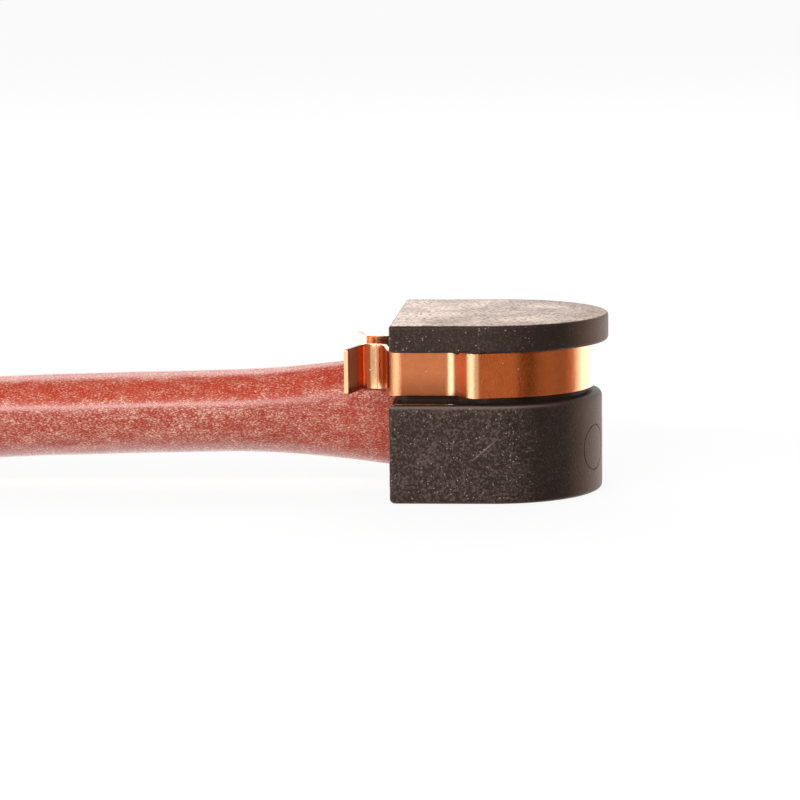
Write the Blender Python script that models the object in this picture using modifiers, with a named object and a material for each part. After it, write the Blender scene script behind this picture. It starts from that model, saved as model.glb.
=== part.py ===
"""Brake pad wear sensor: a D-shaped moulded head with a bent spring strip in its groove, on a short lead.

Metres, +Z up. The head stands on its wear face, which the brake disc reaches when the pad is worn. The origin
is on that face, on the axis of the rounded nose. The nose points to +X. The sleeved lead leaves the flat rear
towards -X, comes down to the surface that the head stands on, and ends in a single-pole plug.
"""
import math

import bmesh
import bpy
from mathutils import Vector

# Head moulding
NOSE_RADIUS = 0.00500            # of the lower block, and half its width
REAR_DISTANCE = 0.00465          # from the nose's axis back to the flat rear
BLOCK_HEIGHT = 0.00460
BLOCK_RIM_RADIUS = 0.00025       # rounding of the ledge that faces the clip
BLOCK_FOOT_RADIUS = 0.00020
FLANGE_THICKNESS = 0.00126
FLANGE_OVERHANG = 0.00030        # past the block, along the sides and round the nose
FLANGE_EDGE_RADIUS = 0.00015
FLANGE_REAR_SETBACK = 0.00007
NECK_REAR_SETBACK = 0.00026      # leaves room for the clip to turn round the neck
NECK_SHOULDER_FRONT = 0.00050    # the neck's shoulder starts this far in front of the clip's bow
MOULDING_OVERLAP = 0.00050       # how far the neck runs on into the block and the flange

# Spring clip, bent from one strip; its plan is the line of the strip's outer face
STRIP_THICKNESS = 0.00020
STRIP_HEIGHT = 0.00212
PLAY_ABOVE_STRIP = 0.00005
PLAY_BELOW_STRIP = 0.00025
CLIP_NOSE_INSET = 0.00038        # strip behind the block's nose
CLIP_BOW_INSET = 0.00006         # strip behind the block's side at the bow
CLIP_LEG_INSET = 0.00105         # strip behind the block's side along the leg
CLIP_BOW_X = -0.00070
CLIP_SHOULDER_X = -0.00180
CLIP_NECK_CLEARANCE = 0.00010
CLIP_REAR_CLEARANCE = 0.00016
CLIP_SLEEVE_CLEARANCE = 0.00006
CLIP_THROAT_SLOPE = 0.00029      # how far the strip drifts back as it crosses the rear
CLIP_THROAT_TAPER = 0.00012      # how much the throat closes towards the tails
CLIP_THROAT_LENGTH = 0.00101
TAIL_LENGTH = 0.00052            # along X
TAIL_FLARE = 0.00175             # outwards
TAIL_CURL_LENGTH = 0.00018
TAIL_CURL_FLARE = 0.00018
TAIL_CORNER_RADIUS = 0.00030
BOW_BEND_RADIUS = 0.00055
SHOULDER_BEND_RADIUS = 0.00055
REAR_BEND_RADIUS = 0.00085
THROAT_BEND_RADIUS = 0.00075
TAIL_BEND_RADIUS = 0.00025

# Lead
LEAD_HEIGHT = 0.00365            # its axis above the wear face, at the head
CONDUCTOR_DIAMETER = 0.00070
INSULATION_DIAMETER = 0.00140
INSULATION_WALL = 0.00030
SLEEVE_DIAMETER = 0.00390
SLEEVE_WALL = 0.00060
OVAL_HEIGHT = 0.00530            # the sleeve's section where it enters the head
OVAL_WIDTH = 0.00290
OVAL_TAPER_LENGTH = 0.00780
OVAL_TAPER_POWER = 1.6
SOCKET_DEPTH = 0.00120           # of the oval recess in the head's rear
SOCKET_CLEARANCE = 0.00006
SLEEVE_END_GAP = 0.00010

# Sensing contact: a crimp barrel with a round leg that bends down towards the wear face
BARREL_DIAMETER = 0.00160
BARREL_BORE_CLEARANCE = 0.00006
BARREL_FRONT_X = -0.00070
BARREL_LENGTH = 0.00230
BARREL_BORE_DEPTH = 0.00170
LEG_DIAMETER = 0.00090
LEG_X = 0.00120
LEG_BEND_RADIUS = 0.00090
LEG_END_HEIGHT = 0.00120         # pad left when the disc reaches the contact
CONTACT_CLEARANCE = 0.00010
STRIPPED_LENGTH = 0.00025        # bare conductor between the barrel and the insulation

# Single-pole plug; lengths run from its cable entry towards its mouth
PLUG_ENTRY_X = -0.08800
PLUG_LENGTH = 0.02350
BOOT_DIAMETER = 0.00640
BOOT_LENGTH = 0.00650
BOOT_GROOVES = 3                 # round the boot, so that it bends with the lead
BOOT_GROOVE_OFFSET = 0.00120     # from the cable entry to the first
BOOT_GROOVE_PITCH = 0.00150
BOOT_GROOVE_WIDTH = 0.00070
BOOT_GROOVE_DEPTH = 0.00025
COLLAR_DIAMETER = 0.00920
COLLAR_LENGTH = 0.00250
COLLAR_FLATS = 0.00850           # across the two flats of the collar
PLUG_BARREL_DIAMETER = 0.00760
PLUG_MOUTH_DIAMETER = 0.00580
PLUG_MOUTH_DEPTH = 0.01000
PLUG_EDGE_CHAMFER = 0.00030
RING_GROOVE_OFFSET = 0.00220     # from the collar to the groove
RING_GROOVE_DEPTH = 0.00060
RING_SECTION_DIAMETER = 0.00090
RING_CLEARANCE = 0.00005
RING_SIDE_CLEARANCE = 0.00025
KEY_WIDTH = 0.00120
KEY_HEIGHT = 0.00070
KEY_LENGTH = 0.00700
ENTRY_CLEARANCE = 0.00015        # round the sleeve in the cable entry
ENTRY_DEPTH = 0.00550
SLEEVE_INSERTION = 0.00290
SEAL_LENGTH = 0.00210
SEAL_GAP = 0.00020
SEAL_WIRE_CLEARANCE = 0.00005
SEAL_BORE_CLEARANCE = 0.00008
SEAL_LIP_HEIGHT = 0.00030
PIN_DIAMETER = 0.00230
PIN_LENGTH = 0.01150             # in front of its shoulder
PIN_SHOULDER_DIAMETER = 0.00280
PIN_SHOULDER_LENGTH = 0.00080
PIN_CRIMP_DIAMETER = 0.00160
PIN_CRIMP_LENGTH = 0.00270
PIN_BORE_DEPTH = 0.00210
PIN_CLEARANCE = 0.00010
CRIMP_CHAMBER_LENGTH = 0.00400

# Number of flat facets that stand for a round surface
NOSE_SEGMENTS = 48
TURNED_SEGMENTS = 32
BORE_SEGMENTS = 24
SMALL_SEGMENTS = 16
EDGE_SEGMENTS = 3
BEND_STEP = math.radians(15)
MERGE_DISTANCE = 1e-7
SMOOTH_ANGLE = math.radians(35)

# Sizes that follow from those above
GROOVE_HEIGHT = STRIP_HEIGHT + PLAY_ABOVE_STRIP + PLAY_BELOW_STRIP
FLANGE_BASE = BLOCK_HEIGHT + GROOVE_HEIGHT
HEAD_HEIGHT = FLANGE_BASE + FLANGE_THICKNESS
STRIP_BASE = BLOCK_HEIGHT + PLAY_BELOW_STRIP
NECK_REAR_X = NECK_REAR_SETBACK - REAR_DISTANCE
LEG_Y = NOSE_RADIUS - CLIP_LEG_INSET
CLIP_NOSE_RADIUS = NOSE_RADIUS - CLIP_NOSE_INSET
NECK_OFFSET = STRIP_THICKNESS + CLIP_NECK_CLEARANCE
NECK_CORNER_RADIUS = REAR_BEND_RADIUS - NECK_OFFSET
SOCKET_FLOOR_X = SOCKET_DEPTH - REAR_DISTANCE
SLEEVE_START_X = SOCKET_FLOOR_X - SLEEVE_END_GAP
BARREL_REAR_X = BARREL_FRONT_X - BARREL_LENGTH
INSULATION_START_X = BARREL_REAR_X - STRIPPED_LENGTH
CONDUCTOR_START_X = BARREL_REAR_X + BARREL_BORE_DEPTH - CONTACT_CLEARANCE
PLUG_HEIGHT = COLLAR_FLATS / 2
ENTRY_DIAMETER = SLEEVE_DIAMETER + 2 * ENTRY_CLEARANCE
SLEEVE_END_X = PLUG_ENTRY_X - SLEEVE_INSERTION
SEAL_START = SLEEVE_INSERTION + SEAL_GAP
PIN_SEAT = ENTRY_DEPTH + CRIMP_CHAMBER_LENGTH
PIN_SHOULDER_START = PIN_SEAT - PIN_CLEARANCE - PIN_SHOULDER_LENGTH
PIN_REAR = PIN_SHOULDER_START - PIN_CRIMP_LENGTH
INSULATION_END_X = PLUG_ENTRY_X - PIN_REAR + STRIPPED_LENGTH
CONDUCTOR_END_X = PLUG_ENTRY_X - PIN_REAR - PIN_BORE_DEPTH + PIN_CLEARANCE

# The lead's axis between the head and the plug, chosen by hand: it sags a little past the head, lies along
# the surface, and rises into the plug
LEAD_ROUTE = [
    (-0.0100, 0.0, 0.00364),
    (-0.0145, 0.0, 0.00356),
    (-0.0190, 0.0, 0.00345),
    (-0.0235, 0.0, 0.00329),
    (-0.0290, 0.0001, 0.00297),
    (-0.0350, 0.0005, 0.00249),
    (-0.0410, 0.0010, 0.00211),
    (-0.0480, 0.0015, 0.00198),
    (-0.0550, 0.0018, 0.00197),
    (-0.0620, 0.0016, 0.00206),
    (-0.0690, 0.0011, 0.00255),
    (-0.0760, 0.0005, 0.00334),
    (-0.0820, 0.0001, 0.00394),
]
ROUTE_STEPS = 3                  # tube rings for each stretch between two route points


def clear_scene():
    """Empties the file, so that the part can be rebuilt in an open session."""
    for old in list(bpy.data.objects):
        bpy.data.objects.remove(old, do_unlink=True)


def make_collection(name):
    collection = bpy.data.collections.new(name)
    bpy.context.scene.collection.children.link(collection)
    return collection


def make_material(name, color, roughness, metallic=0.0):
    material = bpy.data.materials.new(name)
    material.use_nodes = True
    shader = material.node_tree.nodes["Principled BSDF"]
    shader.inputs["Base Color"].default_value = (*color, 1.0)
    shader.inputs["Roughness"].default_value = roughness
    shader.inputs["Metallic"].default_value = metallic
    return material


def add_object(name, data, collection, material=None):
    obj = bpy.data.objects.new(name, data)
    collection.objects.link(obj)
    if material is not None:
        data.materials.append(material)
    return obj


def hide_tool(obj):
    """Marks a solid that only shapes another one."""
    obj.hide_render = True
    obj.display_type = "WIRE"
    return obj


def combine(obj, tool, operation):
    modifier = obj.modifiers.new(f"{operation.lower()} {tool.name}", "BOOLEAN")
    modifier.operation = operation
    modifier.object = tool
    modifier.solver = "EXACT"


def smooth(mesh):
    mesh.shade_smooth()
    mesh.set_sharp_from_angle(angle=SMOOTH_ANGLE)


def curve_to_mesh(curve_obj):
    """Turns a curve object into a mesh object of the same name, with its caps welded on."""
    evaluated = curve_obj.evaluated_get(bpy.context.evaluated_depsgraph_get())
    mesh = bpy.data.meshes.new_from_object(evaluated)
    welded = bmesh.new()
    welded.from_mesh(mesh)
    bmesh.ops.remove_doubles(welded, verts=welded.verts, dist=MERGE_DISTANCE)
    welded.to_mesh(mesh)
    welded.free()
    name = curve_obj.name
    collection = curve_obj.users_collection[0]
    matrix = curve_obj.matrix_world.copy()
    bpy.data.objects.remove(curve_obj)
    obj = add_object(name, mesh, collection)
    obj.matrix_world = matrix
    return obj


def poly_curve(name, points, dimensions, closed):
    curve = bpy.data.curves.new(name, "CURVE")
    curve.dimensions = dimensions
    spline = curve.splines.new("POLY")
    spline.points.add(len(points) - 1)
    for spline_point, point in zip(spline.points, points):
        spline_point.co = (*point, 1.0)
    spline.use_cyclic_u = closed
    return curve


def plate(name, outline, base, top, collection):
    """A flat outline raised from one height to another."""
    curve = poly_curve(name, [(x, y, 0.0) for x, y in outline], "2D", closed=True)
    curve.fill_mode = "BOTH"
    curve.extrude = (top - base) / 2
    obj = add_object(name, curve, collection)
    obj.location.z = (base + top) / 2
    bpy.context.view_layer.update()
    obj = curve_to_mesh(obj)
    flat = bmesh.new()
    flat.from_mesh(obj.data)
    bmesh.ops.dissolve_limit(flat, angle_limit=math.radians(1), verts=flat.verts, edges=flat.edges)
    flat.to_mesh(obj.data)
    flat.free()
    return obj


def round_edges(obj, radii):
    """Bevels the rims at the given local heights, and the upright corners with the height None."""
    mesh = obj.data
    widest = max(radii.values())
    weights = mesh.attributes.new("bevel_weight_edge", "FLOAT", "EDGE")
    smooth_join = math.cos(math.radians(30))
    normals = {}
    for face in mesh.polygons:
        for key in face.edge_keys:
            normals.setdefault(key, []).append(face.normal)
    for edge in mesh.edges:
        first, second = normals[edge.key]
        if first.dot(second) > smooth_join:
            continue
        heights = [mesh.vertices[index].co.z for index in edge.vertices]
        level = None if abs(heights[0] - heights[1]) > MERGE_DISTANCE else round(heights[0], 8)
        weights.data[edge.index].value = radii.get(level, 0.0) / widest
    modifier = obj.modifiers.new("rounded edges", "BEVEL")
    modifier.limit_method = "WEIGHT"
    modifier.width = widest
    modifier.segments = EDGE_SEGMENTS


def arc(center, radius, start, end, steps):
    """Points from one angle to another, both included."""
    angles = [start + (end - start) * step / steps for step in range(steps + 1)]
    return [(center[0] + radius * math.cos(a), center[1] + radius * math.sin(a)) for a in angles]


def rounded_path(corners):
    """Replaces each inner corner (x, y, radius) by the arc of that radius, in steps of BEND_STEP."""
    points = [Vector(corners[0][:2])]
    for before, corner, after in zip(corners, corners[1:], corners[2:]):
        here = Vector(corner[:2])
        back = (Vector(before[:2]) - here).normalized()
        ahead = (Vector(after[:2]) - here).normalized()
        half_angle = back.angle(ahead) / 2
        radius = corner[2]
        center = here + (back + ahead).normalized() * radius / math.sin(half_angle)
        start = here + back * radius / math.tan(half_angle) - center
        end = here + ahead * radius / math.tan(half_angle) - center
        turn = start.angle_signed(end)
        steps = max(2, round(abs(turn) / BEND_STEP))
        first = math.atan2(start.y, start.x)
        points += [Vector(p) for p in arc(center, radius, first, first - turn, steps)]
    points.append(Vector(corners[-1][:2]))
    return points


def d_outline(half_width, rear_x):
    """A half circle round the origin, closed by straight sides and a flat rear."""
    nose = arc((0.0, 0.0), half_width, -math.pi / 2, math.pi / 2, NOSE_SEGMENTS)
    return [*nose, (rear_x, half_width), (rear_x, -half_width)]


def neck_outline():
    """The neck inside the clip: a nose, then a shoulder down to narrower sides."""
    radius = CLIP_NOSE_RADIUS - NECK_OFFSET
    side = LEG_Y - NECK_OFFSET
    shoulder_front = CLIP_BOW_X + NECK_SHOULDER_FRONT
    shoulder_rear = CLIP_SHOULDER_X + NECK_OFFSET
    angle = math.acos(shoulder_front / radius)
    nose = arc((0.0, 0.0), radius, -angle, angle, NOSE_SEGMENTS)
    rear = [(shoulder_rear, side), (NECK_REAR_X, side), (NECK_REAR_X, -side), (shoulder_rear, -side)]
    return nose + rear


def cylinder_along_x(name, diameter, x_from, x_to, height, segments, collection):
    bpy.ops.mesh.primitive_cylinder_add(
        vertices=segments,
        radius=diameter / 2,
        depth=abs(x_to - x_from),
        location=((x_from + x_to) / 2, 0.0, height),
        rotation=(0.0, math.pi / 2, 0.0),
    )
    obj = bpy.context.object
    obj.name = name
    for other in obj.users_collection:
        other.objects.unlink(obj)
    collection.objects.link(obj)
    return obj


def contact_leg_path(extra):
    """The axis of the contact's leg, from inside the barrel to its foot, with the foot lower by extra."""
    corners = [
        (BARREL_FRONT_X - LEG_DIAMETER, LEAD_HEIGHT, 0.0),
        (LEG_X, LEAD_HEIGHT, LEG_BEND_RADIUS),
        (LEG_X, LEG_END_HEIGHT - extra, 0.0),
    ]
    return [(point.x, 0.0, point.y) for point in rounded_path(corners)]


def contact_leg(name, clearance, collection):
    curve = poly_curve(name, contact_leg_path(clearance), "3D", closed=False)
    curve.bevel_depth = LEG_DIAMETER / 2 + clearance
    curve.bevel_resolution = 4
    curve.use_fill_caps = True
    obj = add_object(name, curve, collection)
    bpy.context.view_layer.update()
    return curve_to_mesh(obj)


def build_head(parts, tools, material):
    """One moulding: block, neck and flange, with the oval socket and the room for the contact."""
    rear = -REAR_DISTANCE
    head = plate("head_moulding", d_outline(NOSE_RADIUS, rear), 0.0, BLOCK_HEIGHT, parts)
    half = round(BLOCK_HEIGHT / 2, 8)
    round_edges(head, {half: BLOCK_RIM_RADIUS, -half: BLOCK_FOOT_RADIUS, None: BLOCK_FOOT_RADIUS})

    neck_base = BLOCK_HEIGHT - MOULDING_OVERLAP
    neck_top = FLANGE_BASE + MOULDING_OVERLAP
    neck = hide_tool(plate("neck", neck_outline(), neck_base, neck_top, tools))
    round_edges(neck, {None: NECK_CORNER_RADIUS})

    flange_outline = d_outline(NOSE_RADIUS + FLANGE_OVERHANG, rear + FLANGE_REAR_SETBACK)
    flange = hide_tool(plate("flange", flange_outline, FLANGE_BASE, HEAD_HEIGHT, tools))
    half = round(FLANGE_THICKNESS / 2, 8)
    radius = FLANGE_EDGE_RADIUS
    round_edges(flange, {half: radius, -half: radius, None: radius})

    combine(neck, flange, "UNION")
    combine(head, neck, "UNION")

    room = 2 * SOCKET_DEPTH
    socket = hide_tool(cylinder_along_x(
        "sleeve socket", 1.0, SOCKET_FLOOR_X, SOCKET_FLOOR_X - room, LEAD_HEIGHT, BORE_SEGMENTS, tools))
    socket.scale.x = OVAL_HEIGHT + 2 * SOCKET_CLEARANCE
    socket.scale.y = OVAL_WIDTH + 2 * SOCKET_CLEARANCE
    combine(head, socket, "DIFFERENCE")

    bore = hide_tool(cylinder_along_x(
        "contact bore", BARREL_DIAMETER + 2 * CONTACT_CLEARANCE, SOCKET_FLOOR_X - SOCKET_DEPTH / 2,
        BARREL_FRONT_X + CONTACT_CLEARANCE, LEAD_HEIGHT, SMALL_SEGMENTS, tools))
    combine(head, bore, "DIFFERENCE")
    combine(head, hide_tool(contact_leg("leg channel", CONTACT_CLEARANCE, tools)), "DIFFERENCE")
    smooth(head.data)
    head.data.materials.append(material)
    return head


def throat_half_width():
    """Half the room between the clip's outer faces behind the head: just over the oval sleeve's width there."""
    rise = max(0.0, STRIP_BASE - LEAD_HEIGHT) / (OVAL_HEIGHT / 2)
    sleeve = OVAL_WIDTH / 2 * math.sqrt(max(0.0, 1.0 - rise ** 2))
    return sleeve + CLIP_SLEEVE_CLEARANCE + STRIP_THICKNESS


def clip_plan():
    """The outer face of one half of the clip, from the nose to the tail's end.

    The strip leaves the arc round the nose along its tangent, which runs straight to the bow.
    """
    rear_x = NECK_REAR_X - CLIP_REAR_CLEARANCE - STRIP_THICKNESS
    throat_x = rear_x - CLIP_THROAT_SLOPE
    throat_y = throat_half_width()
    tail_x = throat_x - CLIP_THROAT_LENGTH
    flare_x = tail_x - TAIL_LENGTH
    flare_y = throat_y + TAIL_FLARE
    bow = Vector((CLIP_BOW_X, NOSE_RADIUS - CLIP_BOW_INSET))
    nose_end = math.atan2(bow.y, bow.x) - math.acos(min(1.0, CLIP_NOSE_RADIUS / bow.length))
    nose = arc((0.0, 0.0), CLIP_NOSE_RADIUS, 0.0, nose_end, NOSE_SEGMENTS // 2)
    bends = [
        (*nose[-1], 0.0),
        (*bow, BOW_BEND_RADIUS),
        (CLIP_SHOULDER_X, LEG_Y, SHOULDER_BEND_RADIUS),
        (rear_x, LEG_Y, REAR_BEND_RADIUS),
        (throat_x, throat_y + CLIP_THROAT_TAPER, THROAT_BEND_RADIUS),
        (tail_x, throat_y, TAIL_BEND_RADIUS),
        (flare_x, flare_y, TAIL_BEND_RADIUS),
        (flare_x - TAIL_CURL_LENGTH, flare_y + TAIL_CURL_FLARE, 0.0),
    ]
    return [Vector(point) for point in nose] + rounded_path(bends)[1:]


def tail_columns(plan):
    """The strip's upright lines as (point, half height), shorter towards the tail's rounded end."""
    full = STRIP_HEIGHT / 2
    columns = []
    for point in plan[:-1]:
        columns.append((point, full))
    last = plan[-1]
    run = last - plan[-2]
    reach = min(TAIL_CORNER_RADIUS, run.length)
    for step in range(EDGE_SEGMENTS + 1):
        angle = math.pi / 2 * step / EDGE_SEGMENTS
        distance = reach * (1.0 - math.sin(angle))
        drop = TAIL_CORNER_RADIUS * (1.0 - math.cos(angle))
        columns.append((last - run.normalized() * distance, full - drop))
    if reach == run.length:
        del columns[-EDGE_SEGMENTS - 1]
    return columns


def build_clip(parts, material):
    """Half of the strip's outer face, mirrored and then thickened inwards."""
    middle = STRIP_BASE + STRIP_HEIGHT / 2
    strip = bmesh.new()
    previous = None
    for point, half in tail_columns(clip_plan()):
        low = strip.verts.new((point.x, point.y, middle - half))
        high = strip.verts.new((point.x, point.y, middle + half))
        if previous is not None:
            strip.faces.new((previous[0], low, high, previous[1]))
        previous = (low, high)
    mesh = bpy.data.meshes.new("spring_clip")
    strip.to_mesh(mesh)
    strip.free()
    clip = add_object("spring_clip", mesh, parts, material)
    mirror = clip.modifiers.new("other half", "MIRROR")
    mirror.use_axis = (False, True, False)
    mirror.merge_threshold = MERGE_DISTANCE
    thickness = clip.modifiers.new("strip thickness", "SOLIDIFY")
    thickness.thickness = STRIP_THICKNESS
    thickness.offset = -1.0
    thickness.use_even_offset = True
    smooth(mesh)
    return clip


def build_contact(parts, tools, material):
    """Crimp barrel and leg in one piece, bored from the rear for the conductor."""
    contact = cylinder_along_x(
        "sensing_contact", BARREL_DIAMETER, BARREL_REAR_X, BARREL_FRONT_X, LEAD_HEIGHT, SMALL_SEGMENTS, parts)
    combine(contact, hide_tool(contact_leg("contact leg", 0.0, tools)), "UNION")
    bore = hide_tool(cylinder_along_x(
        "crimp bore", CONDUCTOR_DIAMETER + 2 * BARREL_BORE_CLEARANCE, BARREL_REAR_X - BARREL_BORE_DEPTH,
        BARREL_REAR_X + BARREL_BORE_DEPTH, LEAD_HEIGHT, SMALL_SEGMENTS, tools))
    combine(contact, bore, "DIFFERENCE")
    smooth(contact.data)
    contact.data.materials.append(material)
    return contact


def lead_axis():
    """Points along the lead's axis, on a smooth curve through the route, with straight ends."""
    start = [Vector((x, 0.0, LEAD_HEIGHT)) for x in (0.0, SLEEVE_START_X, -REAR_DISTANCE)]
    end = [Vector((PLUG_ENTRY_X - s, 0.0, PLUG_HEIGHT)) for s in (0.0, ENTRY_DEPTH, PLUG_LENGTH)]
    route = start + [Vector(point) for point in LEAD_ROUTE] + end
    axis = []
    for p0, p1, p2, p3 in zip(route, route[1:], route[2:], route[3:]):
        for step in range(ROUTE_STEPS):
            t = step / ROUTE_STEPS
            pull = (p2 - p0) * t + (2 * p0 - 5 * p1 + 4 * p2 - p3) * t ** 2 + (3 * p1 - p0 - 3 * p2 + p3) * t ** 3
            axis.append(p1 + pull / 2)
    return axis


def stretch_of_axis(x_from, x_to):
    """The part of the lead's axis between two places along X, with both of them as its ends."""
    axis = [Vector((0.0, 0.0, LEAD_HEIGHT)), *lead_axis(), Vector((PLUG_ENTRY_X - PLUG_LENGTH, 0.0, PLUG_HEIGHT))]
    points = []
    for place in (x_from, x_to):
        for before, after in zip(axis, axis[1:]):
            if after.x <= place <= before.x:
                points.append(before.lerp(after, (place - before.x) / (after.x - before.x)))
                break
    spacing = INSULATION_DIAMETER / 4
    between = [point for point in axis if x_to + spacing < point.x < x_from - spacing]
    return [points[0], *between, points[1]]


def tube_along_lead(name, diameter, x_from, x_to, sides_level, filled, parts):
    curve = poly_curve(name, stretch_of_axis(x_from, x_to), "3D", closed=False)
    curve.bevel_depth = diameter / 2
    curve.bevel_resolution = sides_level
    curve.use_fill_caps = filled
    return add_object(name, curve, parts)


def hollow(obj, wall):
    """Gives an open tube its wall, inwards."""
    modifier = obj.modifiers.new("wall", "SOLIDIFY")
    modifier.thickness = wall
    modifier.offset = -1.0
    modifier.use_even_offset = True


def build_conductor(parts, material):
    conductor = tube_along_lead(
        "lead_conductor", CONDUCTOR_DIAMETER, CONDUCTOR_START_X, CONDUCTOR_END_X, 2, True, parts)
    conductor.data.materials.append(material)
    return conductor


def build_insulation(parts, material):
    tube = tube_along_lead(
        "lead_insulation", INSULATION_DIAMETER, INSULATION_START_X, INSULATION_END_X, 2, False, parts)
    bpy.context.view_layer.update()
    insulation = curve_to_mesh(tube)
    hollow(insulation, INSULATION_WALL)
    smooth(insulation.data)
    insulation.data.materials.append(material)
    return insulation


def oval_share(x):
    """How far the sleeve is drawn into its oval at a place along X: 1 in the head, 0 where it is round."""
    distance = max(0.0, -REAR_DISTANCE - x)
    return max(0.0, 1.0 - distance / OVAL_TAPER_LENGTH) ** OVAL_TAPER_POWER


def build_sleeve(parts, material):
    """A round tube along the lead, drawn into an upright oval towards the head."""
    tube = tube_along_lead("silicone_sleeve", SLEEVE_DIAMETER, SLEEVE_START_X, SLEEVE_END_X, 4, False, parts)
    bpy.context.view_layer.update()
    sleeve = curve_to_mesh(tube)
    for vertex in sleeve.data.vertices:
        share = oval_share(vertex.co.x)
        if share > 0.0:
            taller = 1.0 + share * (OVAL_HEIGHT / SLEEVE_DIAMETER - 1.0)
            narrower = 1.0 + share * (OVAL_WIDTH / SLEEVE_DIAMETER - 1.0)
            vertex.co.z = LEAD_HEIGHT + (vertex.co.z - LEAD_HEIGHT) * taller
            vertex.co.y *= narrower
    hollow(sleeve, SLEEVE_WALL)
    smooth(sleeve.data)
    sleeve.data.materials.append(material)
    return sleeve


def turned(name, profile, segments, closed, collection):
    """A profile of (radius, place) turned round the plug's axis; places run from the entry to the mouth."""
    mesh = bpy.data.meshes.new(name)
    outline = [(radius, 0.0, -place) for radius, place in profile]
    edges = [(index, index + 1) for index in range(len(outline) - 1)]
    if closed:
        edges.append((len(outline) - 1, 0))
    mesh.from_pydata(outline, edges, [])
    obj = add_object(name, mesh, collection)
    obj.location = (PLUG_ENTRY_X, 0.0, PLUG_HEIGHT)
    obj.rotation_euler.y = math.pi / 2
    screw = obj.modifiers.new("turn", "SCREW")
    screw.steps = segments
    screw.render_steps = segments
    screw.use_merge_vertices = True
    screw.merge_threshold = MERGE_DISTANCE
    screw.use_smooth_shade = True
    return obj


def plug_profile():
    """The plug's wall: boot, collar and barrel outside; mouth, pin seat, crimp room and entry inside."""
    boot = BOOT_DIAMETER / 2
    collar = COLLAR_DIAMETER / 2
    barrel = PLUG_BARREL_DIAMETER / 2
    mouth = PLUG_MOUTH_DIAMETER / 2
    chamfer = PLUG_EDGE_CHAMFER
    collar_end = BOOT_LENGTH + COLLAR_LENGTH
    groove = collar_end + RING_GROOVE_OFFSET
    groove_end = groove + RING_SECTION_DIAMETER + 2 * RING_SIDE_CLEARANCE
    pin_hole = PIN_DIAMETER / 2 + PIN_CLEARANCE
    chamber = PIN_SHOULDER_DIAMETER / 2 + PIN_CLEARANCE
    entry = ENTRY_DIAMETER / 2
    outside = [(boot - chamfer, 0.0), (boot, chamfer)]
    slope = BOOT_GROOVE_DEPTH / 2
    for index in range(BOOT_GROOVES):
        first = BOOT_GROOVE_OFFSET + index * BOOT_GROOVE_PITCH
        last = first + BOOT_GROOVE_WIDTH
        outside += [
            (boot, first),
            (boot - BOOT_GROOVE_DEPTH, first + slope),
            (boot - BOOT_GROOVE_DEPTH, last - slope),
            (boot, last),
        ]
    outside += [
        (boot, BOOT_LENGTH),
        (collar - chamfer, BOOT_LENGTH),
        (collar, BOOT_LENGTH + chamfer),
        (collar, collar_end - chamfer),
        (collar - chamfer, collar_end),
        (barrel, collar_end),
        (barrel, groove),
        (barrel - RING_GROOVE_DEPTH, groove),
        (barrel - RING_GROOVE_DEPTH, groove_end),
        (barrel, groove_end),
        (barrel, PLUG_LENGTH - chamfer),
        (barrel - chamfer, PLUG_LENGTH),
    ]
    inside = [
        (mouth + chamfer, PLUG_LENGTH),
        (mouth, PLUG_LENGTH - chamfer),
        (mouth, PLUG_LENGTH - PLUG_MOUTH_DEPTH),
        (pin_hole, PLUG_LENGTH - PLUG_MOUTH_DEPTH),
        (pin_hole, PIN_SEAT),
        (chamber, PIN_SEAT),
        (chamber, ENTRY_DEPTH),
        (entry, ENTRY_DEPTH),
        (entry, 0.0),
    ]
    return outside + inside


def build_plug_body(parts, tools, material):
    body = turned("plug_body", plug_profile(), TURNED_SEGMENTS, True, parts)
    collar_middle = PLUG_ENTRY_X - BOOT_LENGTH - COLLAR_LENGTH / 2
    for side in (-1, 1):
        bpy.ops.mesh.primitive_cube_add(size=1.0)
        flat = bpy.context.object
        flat.name = "collar flat"
        flat.dimensions = (2 * COLLAR_LENGTH, COLLAR_DIAMETER, COLLAR_DIAMETER)
        flat.location = (collar_middle, 0.0, PLUG_HEIGHT + side * (COLLAR_FLATS + COLLAR_DIAMETER) / 2)
        move_to(flat, tools)
        combine(body, hide_tool(flat), "DIFFERENCE")
    key_end = PLUG_ENTRY_X - PLUG_LENGTH + PLUG_EDGE_CHAMFER
    bpy.ops.mesh.primitive_cube_add(size=1.0)
    key = bpy.context.object
    key.name = "key"
    wall = (PLUG_BARREL_DIAMETER - PLUG_MOUTH_DIAMETER) / 4
    key.dimensions = (KEY_LENGTH, KEY_WIDTH, KEY_HEIGHT + wall)
    key.location = (
        key_end + KEY_LENGTH / 2,
        0.0,
        PLUG_HEIGHT + PLUG_BARREL_DIAMETER / 2 - wall + (KEY_HEIGHT + wall) / 2,
    )
    move_to(key, tools)
    combine(body, hide_tool(key), "UNION")
    body.data.materials.append(material)
    return body


def move_to(obj, collection):
    for other in obj.users_collection:
        other.objects.unlink(obj)
    collection.objects.link(obj)


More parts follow.
